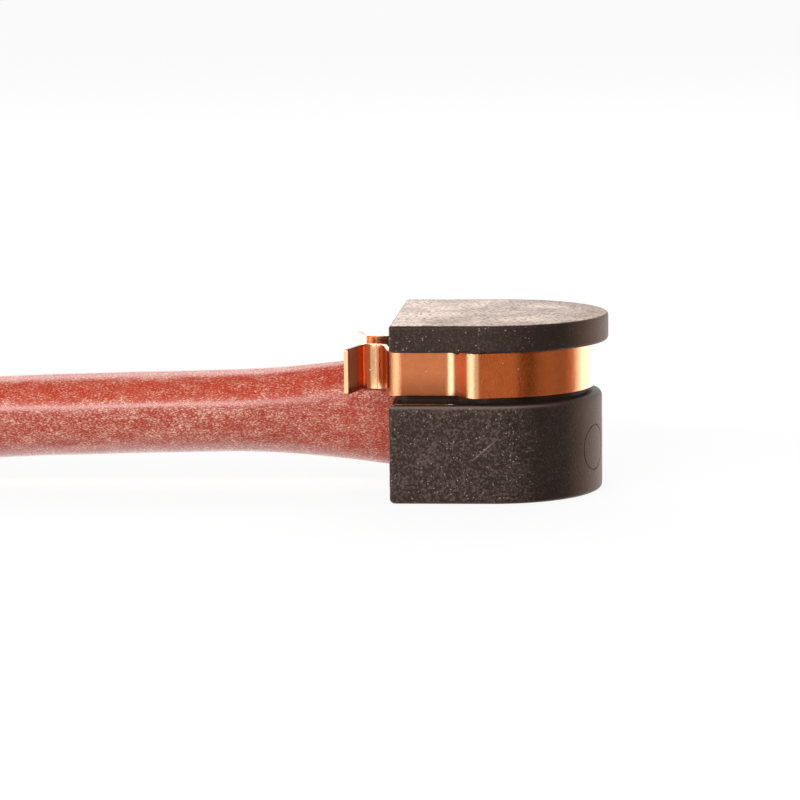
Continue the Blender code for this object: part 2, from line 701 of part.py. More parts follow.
def build_plug_pin(parts, material):
    """A turned pin: crimp barrel with a blind bore, shoulder, and a round-nosed pin."""
    crimp = PIN_CRIMP_DIAMETER / 2
    shoulder = PIN_SHOULDER_DIAMETER / 2
    radius = PIN_DIAMETER / 2
    bore = CONDUCTOR_DIAMETER / 2 + BARREL_BORE_CLEARANCE
    shoulder_end = PIN_SHOULDER_START + PIN_SHOULDER_LENGTH
    tip = shoulder_end + PIN_LENGTH
    profile = [
        (0.0, PIN_REAR + PIN_BORE_DEPTH),
        (bore, PIN_REAR + PIN_BORE_DEPTH),
        (bore, PIN_REAR),
        (crimp, PIN_REAR),
        (crimp, PIN_SHOULDER_START),
        (shoulder, PIN_SHOULDER_START),
        (shoulder, shoulder_end),
        (radius, shoulder_end),
    ]
    nose = arc((0.0, 0.0), radius, 0.0, math.pi / 2, 2 * EDGE_SEGMENTS)
    profile += [(max(0.0, r), tip - radius + s) for r, s in nose[:-1]]
    profile.append((0.0, tip))
    pin = turned("plug_pin", profile, SMALL_SEGMENTS, False, parts)
    pin.data.materials.append(material)
    return pin


def build_cable_seal(parts, material):
    """A rubber grommet with two lips round it, on the insulation."""
    inner = INSULATION_DIAMETER / 2 + SEAL_WIRE_CLEARANCE
    lip = ENTRY_DIAMETER / 2 - SEAL_BORE_CLEARANCE
    root = lip - SEAL_LIP_HEIGHT
    pitch = SEAL_LENGTH / 5
    outside = []
    for ridge in range(5):
        radius = lip if ridge % 2 == 0 else root
        outside += [(radius, SEAL_START + ridge * pitch), (radius, SEAL_START + (ridge + 1) * pitch)]
    profile = [*outside, (inner, SEAL_START + SEAL_LENGTH), (inner, SEAL_START)]
    seal = turned("cable_seal", profile, BORE_SEGMENTS, True, parts)
    seal.data.materials.append(material)
    return seal


def build_seal_ring(parts, material):
    """The ring in the groove of the plug's barrel."""
    section = RING_SECTION_DIAMETER / 2
    center = PLUG_BARREL_DIAMETER / 2 - RING_GROOVE_DEPTH + RING_CLEARANCE + section
    place = BOOT_LENGTH + COLLAR_LENGTH + RING_GROOVE_OFFSET + RING_SIDE_CLEARANCE + section
    bpy.ops.mesh.primitive_torus_add(
        major_segments=TURNED_SEGMENTS,
        minor_segments=BORE_SEGMENTS // 2,
        major_radius=center,
        minor_radius=section,
        location=(PLUG_ENTRY_X - place, 0.0, PLUG_HEIGHT),
        rotation=(0.0, math.pi / 2, 0.0),
    )
    ring = bpy.context.object
    ring.name = "seal_ring"
    move_to(ring, parts)
    smooth(ring.data)
    ring.data.materials.append(material)
    return ring


def main():
    clear_scene()
    parts = make_collection("brake pad wear sensor")
    tools = make_collection("shaping solids")
    moulding = make_material("mineral-filled phenolic", (0.055, 0.044, 0.042), 0.62)
    bronze = make_material("bronze strip", (0.72, 0.32, 0.12), 0.22, 1.0)
    brass = make_material("brass", (0.72, 0.55, 0.25), 0.3, 1.0)
    copper = make_material("tinned copper", (0.75, 0.42, 0.30), 0.35, 1.0)
    fluoropolymer = make_material("white fluoropolymer", (0.75, 0.74, 0.70), 0.4)
    silicone = make_material("red silicone", (0.50, 0.10, 0.065), 0.7)
    nylon = make_material("black nylon", (0.02, 0.02, 0.021), 0.5)
    rubber = make_material("orange seal rubber", (0.42, 0.09, 0.03), 0.6)
    build_head(parts, tools, moulding)
    build_clip(parts, bronze)
    build_contact(parts, tools, brass)
    build_conductor(parts, copper)
    build_insulation(parts, fluoropolymer)
    build_sleeve(parts, silicone)
    build_plug_body(parts, tools, nylon)
    build_plug_pin(parts, brass)
    build_cable_seal(parts, rubber)
    build_seal_ring(parts, rubber)


main()
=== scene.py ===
# %% [markdown]
# # A brake pad wear sensor, piece by piece
#
# The sensor clips into the backing plate of a brake pad. When the pad is nearly used up, the disc wears
# through the small dark head and reaches the wire inside it. What you see is a D-shaped moulding, a strip
# of bronze bent round its neck, a dusty red silicone sleeve, and a plug on the far end.
#
# The lesson dresses a measured model of it. Every size is in millimetres and becomes metres through `MM`,
# because Blender works in metres. +Z is up, and the nose of the head points along +X.

# %% Load the measured model
import math
from functools import partial

import bmesh
import bpy
from mathutils import Matrix, Vector, noise


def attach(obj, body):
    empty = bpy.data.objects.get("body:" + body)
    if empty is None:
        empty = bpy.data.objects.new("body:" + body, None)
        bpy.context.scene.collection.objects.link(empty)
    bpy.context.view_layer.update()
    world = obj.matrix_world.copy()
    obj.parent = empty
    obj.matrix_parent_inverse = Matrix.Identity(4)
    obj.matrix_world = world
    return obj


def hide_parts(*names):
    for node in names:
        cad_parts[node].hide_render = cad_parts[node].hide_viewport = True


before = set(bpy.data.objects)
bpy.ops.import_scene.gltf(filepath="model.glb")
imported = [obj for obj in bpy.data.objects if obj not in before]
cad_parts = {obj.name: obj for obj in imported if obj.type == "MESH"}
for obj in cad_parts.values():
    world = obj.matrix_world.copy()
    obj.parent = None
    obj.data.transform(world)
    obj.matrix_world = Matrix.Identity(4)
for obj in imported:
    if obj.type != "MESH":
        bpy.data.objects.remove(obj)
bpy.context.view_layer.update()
MM = 0.001
scene = bpy.context.scene
print("nodes:", ", ".join(sorted(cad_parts)))

# %% [markdown]
# ## The camera
#
# The photograph is a close view with a long lens, from a little above and a little to the right. A camera
# can be placed by eye and nudged until the outlines agree, or worked out from a few edges whose real places
# are known. The second way was used here: three angles and one distance describe it, and they are turned
# into a matrix, so that nothing is left to chance. The lens is long, so the block's vertical edges stay
# nearly parallel.

# %% Place the camera
CAMERA_AZIMUTH = math.radians(4.631)
CAMERA_ELEVATION = math.radians(8.418)
CAMERA_ROLL = math.radians(0.657)
CAMERA_DISTANCE = 150.0
PIXELS_PER_MM = 21.155           # at the origin, in a picture 800 pixels wide
ORIGIN_PIXEL = (496.277, 485.794)
PICTURE_WIDTH = 800
SENSOR_WIDTH = 36.0

back = Vector((
    math.sin(CAMERA_AZIMUTH) * math.cos(CAMERA_ELEVATION),
    -math.cos(CAMERA_AZIMUTH) * math.cos(CAMERA_ELEVATION),
    math.sin(CAMERA_ELEVATION),
))
level_right = Vector((math.cos(CAMERA_AZIMUTH), math.sin(CAMERA_AZIMUTH), 0.0))
level_up = back.cross(level_right)
right = math.cos(CAMERA_ROLL) * level_right - math.sin(CAMERA_ROLL) * level_up
up = math.sin(CAMERA_ROLL) * level_right + math.cos(CAMERA_ROLL) * level_up
across = (ORIGIN_PIXEL[0] - PICTURE_WIDTH / 2) / PIXELS_PER_MM
down = (ORIGIN_PIXEL[1] - PICTURE_WIDTH / 2) / PIXELS_PER_MM
camera_matrix = Matrix((right, up, back)).transposed().to_4x4()
camera_matrix.translation = (back * CAMERA_DISTANCE - right * across + up * down) * MM

camera_data = bpy.data.cameras.new("photograph's view")
camera_data.lens = CAMERA_DISTANCE * PIXELS_PER_MM / PICTURE_WIDTH * SENSOR_WIDTH
camera_data.sensor_width = SENSOR_WIDTH
camera_data.clip_start = MM
camera = bpy.data.objects.new("photograph's view", camera_data)
camera.matrix_world = camera_matrix
scene.collection.objects.link(camera)
scene.camera = camera
scene.view_settings.view_transform = "Standard"
camera_place = [round(value / MM, 1) for value in camera.location]
print("camera at", camera_place, "mm, lens", round(camera_data.lens, 1))

# %% [markdown]
# ## A loft
#
# Nearly every piece here is a section that travels along a path: the sleeve, the bronze strip and the
# moulding. Blender's curves can do the simple cases. A loft written in code does them all: it takes a list
# of rings with the same number of points and joins each ring to the next. Then each ring can change a
# little, which is how the sleeve becomes oval and the strip's corner gets its round.

# %% A loft through rings of points
SHARP_ANGLE = math.radians(40)


def finish_piece(name, mesh, material, slot, *nodes):
    """Shades a mesh smooth up to its sharp edges, and puts it in the scene in place of the plain solids."""
    mesh.shade_smooth()
    mesh.set_sharp_from_angle(angle=SHARP_ANGLE)
    mesh.materials.clear()
    mesh.materials.append(material)
    piece = bpy.data.objects.new(name, mesh)
    scene.collection.objects.link(piece)
    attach(piece, "root")
    if nodes:
        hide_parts(*nodes)
    print(f"{name}: {len(mesh.polygons)} faces")
    return piece


def loft(name, rings, endless=False):
    """Joins rings of points, in millimetres. Its ends are capped, unless it runs round."""
    shape = bmesh.new()
    rows = [[shape.verts.new(Vector(point) * MM) for point in ring] for ring in rings]
    pairs = list(zip(rows, rows[1:]))
    if endless:
        pairs.append((rows[-1], rows[0]))
    for row, following in pairs:
        for index in range(len(row)):
            after = (index + 1) % len(row)
            shape.faces.new((row[index], row[after], following[after], following[index]))
    if not endless:
        shape.faces.new(list(reversed(rows[0])))
        shape.faces.new(rows[-1])
    bmesh.ops.recalc_face_normals(shape, faces=shape.faces)
    mesh = bpy.data.meshes.new(name)
    shape.to_mesh(mesh)
    shape.free()
    return mesh


# %% [markdown]
# ## Lines with rounded bends
#
# Bent strip, moulded edges and turned profiles are all straight runs joined by arcs. One could place the
# arc's points by hand. It is easier to write down the corners, each with its radius, and let a function
# replace every corner by its arc, because then a radius stays one number that can be changed.

# %% Arcs and rounded corners
def arc(center, radius, start, end, steps):
    """Points on a circle from one angle to another, both included."""
    angles = [start + (end - start) * step / steps for step in range(steps + 1)]
    return [Vector((center[0] + radius * math.cos(a), center[1] + radius * math.sin(a))) for a in angles]


def rounded(corners, step):
    """Turns corners (x, y, radius) into a line with arcs, a point for each step of angle."""
    line = [Vector(corners[0][:2])]
    for before, corner, after in zip(corners, corners[1:], corners[2:]):
        here = Vector(corner[:2])
        if corner[2] <= 0.0:
            line.append(here)
            continue
        to_before = (Vector(before[:2]) - here).normalized()
        to_after = (Vector(after[:2]) - here).normalized()
        half_angle = to_before.angle(to_after) / 2
        center = here + (to_before + to_after).normalized() * corner[2] / math.sin(half_angle)
        start = here + to_before * corner[2] / math.tan(half_angle) - center
        end = here + to_after * corner[2] / math.tan(half_angle) - center
        turn = start.angle_signed(end)
        first = math.atan2(start.y, start.x)
        line += arc(center, corner[2], first, first - turn, max(2, round(abs(turn) / step)))
    line.append(Vector(corners[-1][:2]))
    return line


# %% [markdown]
# ## Tools for materials
#
# A material here is a Principled shader fed by a few noise patterns. The patterns are measured in
# millimetres on the object itself, so a grain keeps its real size whatever the piece. Colours are written
# as the hex values that a picture shows, and one function turns them into the linear light that the
# renderer adds up. Two patterns come back in several materials, so they get a function each: clouds between
# two tones, and rare specks.

# %% Colours, nodes and the millimetre grid
NOISE_LOW, NOISE_HIGH = 0.3, 0.7         # nearly all values of a noise lie between these


def tone(hex_value):
    """An sRGB colour such as '#7A4B32' as linear red, green, blue and alpha."""
    channels = [int(hex_value[place:place + 2], 16) / 255 for place in (1, 3, 5)]
    linear = [c / 12.92 if c <= 0.04045 else ((c + 0.055) / 1.055) ** 2.4 for c in channels]
    return (*linear, 1.0)


def feed(node, inputs):
    """Gives each input its value, or a link when the value is another node's output."""
    for name, value in inputs.items():
        if isinstance(value, bpy.types.NodeSocket):
            node.id_data.links.new(value, node.inputs[name])
        else:
            node.inputs[name].default_value = value


def add_node(tree, kind, inputs, output=0, **settings):
    """Adds a node with its settings and links, and gives back one of its outputs."""
    node = tree.nodes.new("ShaderNode" + kind)
    for name, value in settings.items():
        setattr(node, name, value)
    feed(node, inputs)
    return node.outputs[output]


def start_material(name, **values):
    """A Principled material, what adds nodes to it, its shader, and its grid: the place in millimetres."""
    material = bpy.data.materials.new(name)
    material.use_nodes = True
    add = partial(add_node, material.node_tree)
    shader = material.node_tree.nodes["Principled BSDF"]
    feed(shader, {socket.replace("_", " "): value for socket, value in values.items()})
    place = add("TexCoord", {}, "Object")
    grid = add("Mapping", {"Vector": place, "Scale": (1 / MM,) * 3})
    return material, add, shader, grid


def clouded(add, grid, size, dark, light, detail=3.0):
    """Clouds of a size in millimetres between two tones. Gives back the mixed tone and the clouds."""
    cloud = add("TexNoise", {"Vector": grid, "Scale": 1 / size, "Detail": detail})
    return add("Mix", {0: cloud, 6: tone(dark), 7: tone(light)}, 2, data_type="RGBA"), cloud


def rare_specks(add, grid, cell, radius, rarity):
    """Round specks in the few cells of a Voronoi pattern whose random number is above the rarity."""
    cells = {"Vector": grid, "Scale": 1 / cell}
    to_middle = add("TexVoronoi", cells, "Distance")
    cell_color = add("TexVoronoi", cells, "Color")
    draw = add("SeparateColor", {"Color": cell_color}, "Red")
    shape = add("Math", {0: to_middle, 1: radius}, operation="LESS_THAN")
    drawn = add("Math", {0: draw, 1: rarity}, operation="GREATER_THAN")
    return add("Math", {0: shape, 1: drawn}, operation="MULTIPLY")


# %% [markdown]
# ## The lead's line
#
# The lead comes first, because everything else sits on it or at its end. The photograph shows its first 19
# mm. The rest is what such sensors have: about 85 mm of sleeved wire, down to the bench and up into a plug.
# A smooth curve through a few given points gives the line; this one passes through every point, which
# a Bezier curve does only with well-set handles.

# %% The axis of the lead
LEAD_HEIGHT = 3.65
REAR_X = -4.65                   # the flat rear of the head
SOCKET_FLOOR_X = -3.45
PLUG_X = -88.0                   # the cable entry of the plug
PLUG_LENGTH = 23.5
PLUG_HEIGHT = 4.25
PLUG_ENTRY_DEPTH = 5.5
ROUTE = [
    (-10.0, 0.0, 3.64), (-14.5, 0.0, 3.56), (-19.0, 0.0, 3.45), (-23.5, 0.0, 3.29), (-29.0, 0.1, 2.97),
    (-35.0, 0.5, 2.49), (-41.0, 1.0, 2.11), (-48.0, 1.5, 1.98), (-55.0, 1.8, 1.97), (-62.0, 1.6, 2.06),
    (-69.0, 1.1, 2.55), (-76.0, 0.5, 3.34), (-82.0, 0.1, 3.94),
]
STEPS_PER_STRETCH = 16


def lead_axis():
    """A smooth line through the route, straight where it leaves the head and where it enters the plug."""
    start = [Vector((x, 0.0, LEAD_HEIGHT)) for x in (0.0, SOCKET_FLOOR_X - 0.1, REAR_X)]
    end = [Vector((PLUG_X - s, 0.0, PLUG_HEIGHT)) for s in (0.0, PLUG_ENTRY_DEPTH, PLUG_LENGTH)]
    route = start + [Vector(point) for point in ROUTE] + end
    line = []
    for p0, p1, p2, p3 in zip(route, route[1:], route[2:], route[3:]):
        for step in range(STEPS_PER_STRETCH):
            t = step / STEPS_PER_STRETCH
            pull = (p2 - p0) * t
            pull += (2 * p0 - 5 * p1 + 4 * p2 - p3) * t ** 2
            pull += (3 * p1 - p0 - 3 * p2 + p3) * t ** 3
            line.append(p1 + pull / 2)
    return line


SLEEVE_INSERTION = 2.9           # of the sleeve in the plug
sleeve_axis = [point for point in lead_axis() if point.x > PLUG_X - SLEEVE_INSERTION]

# %% [markdown]
# ## Red silicone sleeving
#
# The sleeve is silicone rubber, extruded as a tube and rolled in talc so that it slides over the wire. The
# talc lies on it as pale specks in drifts, drawn out along the tube. It is thinner near the head, where
# fingers have rubbed it off. Along the upper flank it is thinned as painted shade, and the lower side is
# darkened as painted shade; both make the red deeper. Two things make talc look like powder and not like
# paint. Its specks stand a few thousandths of a millimetre high, and the whole skin gets sheen, the faint
# glow that dust gives a surface seen edge-on. That is why the sleeve's outline is so pale.

# %% Silicone: the rubber and its painted shade below
PIGMENT_CLOUD = 0.9
UNDERSIDE_SHADE_FROM, UNDERSIDE_SHADE_TO = 0.50, 0.10        # how far the skin faces up
UNDERSIDE_SHADE_SHARE = 0.75
SHADE_FADE_FROM, SHADE_FADE_TO = -5.0, -10.0   # near the head the painted shade is weaker
SHADE_NEAR_HEAD_SHARE = 0.25

sleeve_rubber, add, shader, grid = start_material(
    "silicone rubber, extruded and talc-dusted", IOR=1.43, Sheen_Weight=0.45, Sheen_Roughness=0.30,
    Sheen_Tint=tone("#FFE9DA"))
rubber_tone = clouded(add, grid, PIGMENT_CLOUD, "#9E2914", "#AE3820")[0]
normal = add("NewGeometry", {}, "Normal")
facing_z = add("SeparateXYZ", {"Vector": normal}, "Z")
# painted shade: the skin is darkened where it faces down, less near the head
underside_shade = add("MapRange", {
    "Value": facing_z, "From Min": UNDERSIDE_SHADE_FROM, "From Max": UNDERSIDE_SHADE_TO, "To Max": UNDERSIDE_SHADE_SHARE},
    interpolation_type="SMOOTHSTEP")
place_x = add("SeparateXYZ", {"Vector": grid}, "X")
shade_kept = add("MapRange", {
    "Value": place_x, "From Min": SHADE_FADE_FROM, "From Max": SHADE_FADE_TO, "To Min": SHADE_NEAR_HEAD_SHARE})
underside_shade = add("Math", {0: underside_shade, 1: shade_kept}, operation="MULTIPLY")
rubber_tone = add("Mix", {0: underside_shade, 6: rubber_tone, 7: tone("#8A2A1E")}, 2, data_type="RGBA")
print("silicone: pigment clouds of", PIGMENT_CLOUD, "mm")

# %% [markdown]
# ## Talc in drifts
#
# Each speck is a peak of fine noise above a threshold. Adding slower numbers to the noise moves the
# threshold: a coarser noise gathers the specks in drifts, a mask by place thins them out near the head,
# where the sleeve has been rubbed, and two masks by facing thin them along the upper flank, as painted
# shade that leaves a deeper red band there.

# %% Silicone: the talc
TALC_SPECK = 0.052               # talc is finer than 0.02 mm; drawn coarser, so that it shows
TALC_DRIFT = 0.40
DRAWN_OUT = 0.5                  # along the sleeve the patterns are this much less dense
DRIFT_LIFT = 0.06                # added to the specks in the thick of a drift
RUBBED_FROM, RUBBED_TO = -6.4, -4.9
RUBBED_LOSS = 0.03               # taken from the specks by the head
SHADE_BAND_FROM, SHADE_BAND_FULL = 0.36, 0.56  # how far the skin faces up
SHADE_BAND_LESS, SHADE_BAND_TO = 0.82, 0.95
SHADE_BAND_LOSS = 0.035
TALC_FROM, TALC_FULL = 0.42, 0.83
TALC_HEIGHT = 0.004

drawn = add("Mapping", {"Vector": grid, "Scale": (DRAWN_OUT, 1.0, 1.0)})
specks = add("TexNoise", {"Vector": drawn, "Scale": 1 / TALC_SPECK, "Detail": 2.0, "Roughness": 0.7})
drifts = add("TexNoise", {"Vector": drawn, "Scale": 1 / TALC_DRIFT, "Detail": 3.0})
drift_lift = add("MapRange", {
    "Value": drifts, "From Min": NOISE_LOW, "From Max": NOISE_HIGH,
    "To Min": -DRIFT_LIFT, "To Max": DRIFT_LIFT})
rubbed = add("MapRange", {
    "Value": place_x, "From Min": RUBBED_FROM, "From Max": RUBBED_TO, "To Max": -RUBBED_LOSS},
    interpolation_type="SMOOTHSTEP")
# painted shade: less talc where the skin faces up at a slant leaves a deeper red band
shade_band_start = add("MapRange", {
    "Value": facing_z, "From Min": SHADE_BAND_FROM, "From Max": SHADE_BAND_FULL, "To Max": -SHADE_BAND_LOSS},
    interpolation_type="SMOOTHSTEP")
shade_band_end = add("MapRange", {
    "Value": facing_z, "From Min": SHADE_BAND_LESS, "From Max": SHADE_BAND_TO, "To Max": SHADE_BAND_LOSS},
    interpolation_type="SMOOTHSTEP")
dusted = specks
for lift in (drift_lift, rubbed, shade_band_start, shade_band_end):
    dusted = add("Math", {0: dusted, 1: lift}, operation="ADD")
talc = add("MapRange", {
    "Value": dusted, "From Min": TALC_FROM, "From Max": TALC_FULL}, interpolation_type="SMOOTHSTEP")
sleeve_tone = add("Mix", {0: talc, 6: rubber_tone, 7: tone("#E4BCA4")}, 2, data_type="RGBA")
sleeve_rough = add("MapRange", {"Value": talc, "To Min": 0.21, "To Max": 0.30})
bump = add("Bump", {"Height": talc, "Distance": TALC_HEIGHT * MM})
feed(shader, {"Base Color": sleeve_tone, "Roughness": sleeve_rough, "Normal": bump})
print("silicone: talc specks of", TALC_SPECK, "mm in drifts of", TALC_DRIFT, "mm")

# %% [markdown]
# ## The sleeve's shape
#
# Away from the head the sleeve is round, 3.9 mm across. The head holds it in an upright oval socket,
# because the two ends of the bronze strip need room on both sides of it. So its section is squeezed over
# the last 8 mm. The rings turn with the line, and the squeeze works on height and width, not on the ring
# itself.

# %% Loft the sleeve
SLEEVE_RADIUS = 1.95
SLEEVE_WALL = 0.60
SLEEVE_UNEVENNESS = 0.012        # share of the radius
UNEVEN_PER_MM = 0.35
OVAL_HEIGHT = 5.30
OVAL_WIDTH = 2.90
OVAL_TAPER_LENGTH = 7.80
OVAL_TAPER_POWER = 1.6
SLEEVE_SIDES = 96


def sleeve_ring(center, ahead, radius):
    """One ring round the axis, drawn into the oval near the head."""
    share = max(0.0, 1.0 - max(0.0, REAR_X - center.x) / OVAL_TAPER_LENGTH) ** OVAL_TAPER_POWER
    taller = 1.0 + share * (OVAL_HEIGHT / 2 / SLEEVE_RADIUS - 1.0)
    wider = 1.0 + share * (OVAL_WIDTH / 2 / SLEEVE_RADIUS - 1.0)
    side = ahead.cross(Vector((0.0, 0.0, 1.0))).normalized()
    rise = side.cross(ahead).normalized()
    ring = []
    for index in range(SLEEVE_SIDES):
        angle = 2 * math.pi * index / SLEEVE_SIDES
        point = center + (side * math.cos(angle) + rise * math.sin(angle)) * radius
        uneven = 1.0 + SLEEVE_UNEVENNESS * noise.noise(point * UNEVEN_PER_MM)
        point = center + (point - center) * uneven
        point.z = LEAD_HEIGHT + (point.z - LEAD_HEIGHT) * taller
        point.y *= wider
        ring.append(point)
    return ring


directions = [(after - before).normalized() for before, after in zip(sleeve_axis, sleeve_axis[1:])]
directions.append(directions[-1])
outer_rings = [sleeve_ring(c, d, SLEEVE_RADIUS) for c, d in zip(sleeve_axis, directions)]
inner_rings = [sleeve_ring(c, d, SLEEVE_RADIUS - SLEEVE_WALL) for c, d in zip(sleeve_axis, directions)]
sleeve_mesh = loft("sleeve", outer_rings + inner_rings[::-1], endless=True)
sleeve = finish_piece("sleeve", sleeve_mesh, sleeve_rubber, "silicone", "silicone_sleeve")

# %% [markdown]
# ## Phenolic moulding
#
# The head is phenolic resin filled with mineral powder, pressed in a hot mould. It has to wear away like
# the pad, without melting. The press leaves a matt brown-black skin, mottled by the filler, with single
# flakes of mica that flash. The mottle is cloudy noise in two sizes. The flakes are the cells of a Voronoi
# pattern: each cell has a random number, and only those with the highest are drawn. Handling has cleaned
# the nose and the flange, so they get a smaller share of both.

# %% Phenolic: the mottled body and its mica
FILLER_CLOUD = 0.9
CLOUD_LIFT = 0.03                # added to the filler in the thick of a cloud
FILLER_GRAIN = 0.11
POWDER_FROM, POWDER_FULL = 0.42, 0.72
CLEAN_FROM, CLEAN_TO = 0.8, 2.2  # along the head, towards the nose
NOSE_SHARE = 0.22
UPPER_FROM, UPPER_TO = 4.4, 4.6  # heights; the flange begins above them
UPPER_SHARE = 0.40
NOSE_LIGHT_FROM, NOSE_LIGHT_TO = 3.4, 5.0  # the nose is painted lighter and browner: painted light from the bright side
MICA_CELL = 0.15
MICA_RADIUS = 0.18               # as a share of the cell
MICA_RARITY = 0.66               # cells with a random number above this hold a flake

moulding, add, shader, grid = start_material(
    "phenolic resin, mineral-filled and pressed", IOR=1.55, Specular_IOR_Level=0.3,
    Specular_Tint=tone("#FFD8BA"))
base_tone, cloud = clouded(add, grid, FILLER_CLOUD, "#181010", "#201817", detail=4.0)
filler = add("TexNoise", {"Vector": grid, "Scale": 1 / FILLER_GRAIN, "Detail": 2.0, "Roughness": 0.7})
cloud_lift = add("MapRange", {
    "Value": cloud, "From Min": NOISE_LOW, "From Max": NOISE_HIGH,
    "To Min": -CLOUD_LIFT, "To Max": CLOUD_LIFT})
filler = add("Math", {0: filler, 1: cloud_lift}, operation="ADD")
powder = add("MapRange", {
    "Value": filler, "From Min": POWDER_FROM, "From Max": POWDER_FULL}, interpolation_type="SMOOTHSTEP")
place_x = add("SeparateXYZ", {"Vector": grid}, "X")
dusty_share = add("MapRange", {
    "Value": place_x, "From Min": CLEAN_FROM, "From Max": CLEAN_TO, "To Min": 1.0, "To Max": NOSE_SHARE})
height = add("SeparateXYZ", {"Vector": grid}, "Z")
cleaner_up = add("MapRange", {
    "Value": height, "From Min": UPPER_FROM, "From Max": UPPER_TO, "To Min": 1.0, "To Max": UPPER_SHARE})
powder_share = add("Math", {0: dusty_share, 1: cleaner_up}, operation="MULTIPLY")
powder = add("Math", {0: powder, 1: powder_share}, operation="MULTIPLY")
# painted light: a lighter brown towards the nose, which faces the bright right side of the room
nose_light = add("MapRange", {"Value": place_x, "From Min": NOSE_LIGHT_FROM, "From Max": NOSE_LIGHT_TO})
base_tone = add("Mix", {0: nose_light, 6: base_tone, 7: tone("#55351F")}, 2, data_type="RGBA")
filled_tone = add("Mix", {0: powder, 6: base_tone, 7: tone("#534644")}, 2, data_type="RGBA")
flake = rare_specks(add, grid, MICA_CELL, MICA_RADIUS, MICA_RARITY)
mica_share = add("Math", {0: flake, 1: dusty_share}, operation="MULTIPLY")
body_tone = add("Mix", {0: mica_share, 6: filled_tone, 7: tone("#8C807B")}, 2, data_type="RGBA")
print("phenolic: filler grain of", FILLER_GRAIN, "mm, mica cells of", MICA_CELL, "mm")

# %% [markdown]
# ## The pale top, rubbed and painted
#
# The same skin is not the same everywhere. The flat top is painted pale, in patches and short dashes, most
# of all at the rear: partly rubbing against packing, partly painted reflection of the bright backdrop that
# the top shows at a grazing view. Such a place is found by a mask: a number from 0 to 1, worked out from
# the place on the object or from the way the surface faces. Masks are multiplied to say "and".

# %% Phenolic: the pale top, partly painted reflection
TOP_FROM, TOP_TO = 7.7, 8.1
UPRIGHT_FROM, UPRIGHT_TO = 0.80, 0.98    # how far the skin faces up
RUB_PATCH = 2.6
PATCH_FROM, PATCH_FULL = 0.32, 0.68
PALER_FROM, PALER_TO = -4.5, -0.5
PALER_LIFT = 0.16
RUB_DASH = 0.16
DASH_FROM, DASH_FULL = 0.34, 0.52
LEAST_RUB = 0.15

normal = add("NewGeometry", {}, "Normal")
facing_z = add("SeparateXYZ", {"Vector": normal}, "Z")
facing_up = add("MapRange", {"Value": facing_z, "From Min": UPRIGHT_FROM, "From Max": UPRIGHT_TO})
on_top = add("MapRange", {"Value": height, "From Min": TOP_FROM, "From Max": TOP_TO})
top = add("Math", {0: facing_up, 1: on_top}, operation="MULTIPLY")
patches = add("TexNoise", {"Vector": grid, "Scale": 1 / RUB_PATCH, "Detail": 6.0, "Roughness": 0.6})
paler_rear = add("MapRange", {
    "Value": place_x, "From Min": PALER_FROM, "From Max": PALER_TO, "To Min": PALER_LIFT, "To Max": 0.0})
patch = add("Math", {0: patches, 1: paler_rear}, operation="ADD")
patch = add("MapRange", {"Value": patch, "From Min": PATCH_FROM, "From Max": PATCH_FULL})
# painted reflection: these pale tones stand for the bright backdrop seen on the top at a grazing angle,
# over some rubbing
rubbed_and_lit_top_tone = add("Mix", {0: patch, 6: tone("#86695A"), 7: tone("#E4CDBE")}, 2, data_type="RGBA")
dashes = add("TexNoise", {"Vector": grid, "Scale": 1 / RUB_DASH, "Detail": 2.0, "Roughness": 0.6})
rub = add("MapRange", {"Value": dashes, "From Min": DASH_FROM, "From Max": DASH_FULL, "To Min": LEAST_RUB})
rubbed_and_lit_top = add("Math", {0: top, 1: rub}, operation="MULTIPLY")
tone_now = add("Mix", {0: rubbed_and_lit_top, 6: body_tone, 7: rubbed_and_lit_top_tone}, 2, data_type="RGBA")
print("phenolic: rubbed pale above", TOP_FROM, "mm")

# %% [markdown]
# ## Painted rim highlight and fine scratch
#
# The block's upper rim gets a painted highlight along its round, where the edge catches the light, less
# towards the nose. One fine scratch crosses the front: a Mapping node lays a small frame of its own on it,
# so that "along" and "across" become plain X and Z there.

# %% Phenolic: painted rim highlight and scratch
RIM_FROM, RIM_TO = 4.36, 4.50
LEANING_FROM, LEANING_TO = 0.05, 0.45
FLAT = 0.93                      # what faces up more than this is the flat ledge, not the rim
RIM_HIGHLIGHT_FROM, RIM_HIGHLIGHT_TO = 1.0, 3.6
RIM_HIGHLIGHT_SHARE = 0.45
SCRATCH_MIDDLE = (-0.30, 0.0, 2.50)
SCRATCH_ANGLE = math.radians(41)
SCRATCH_HALF_LENGTH = 0.95
SCRATCH_HALF_WIDTH = 0.03
SCRATCH_SHARE = 0.24
FRONT_Y = -4.5

leaning = add("MapRange", {"Value": facing_z, "From Min": LEANING_FROM, "From Max": LEANING_TO})
on_rim = add("MapRange", {"Value": height, "From Min": RIM_FROM, "From Max": RIM_TO})
below_top = add("Math", {0: height, 1: TOP_FROM}, operation="LESS_THAN")
off_ledge = add("Math", {0: facing_z, 1: FLAT}, operation="LESS_THAN")
rim_highlight_share = add("MapRange", {
    "Value": place_x, "From Min": RIM_HIGHLIGHT_FROM, "From Max": RIM_HIGHLIGHT_TO, "To Min": RIM_HIGHLIGHT_SHARE, "To Max": 0.0})
for mask in (leaning, on_rim, below_top, off_ledge):
    rim_highlight_share = add("Math", {0: rim_highlight_share, 1: mask}, operation="MULTIPLY")
# painted highlight: a pale line along the rim's round
tone_now = add("Mix", {0: rim_highlight_share, 6: tone_now, 7: tone("#8E807B")}, 2, data_type="RGBA")

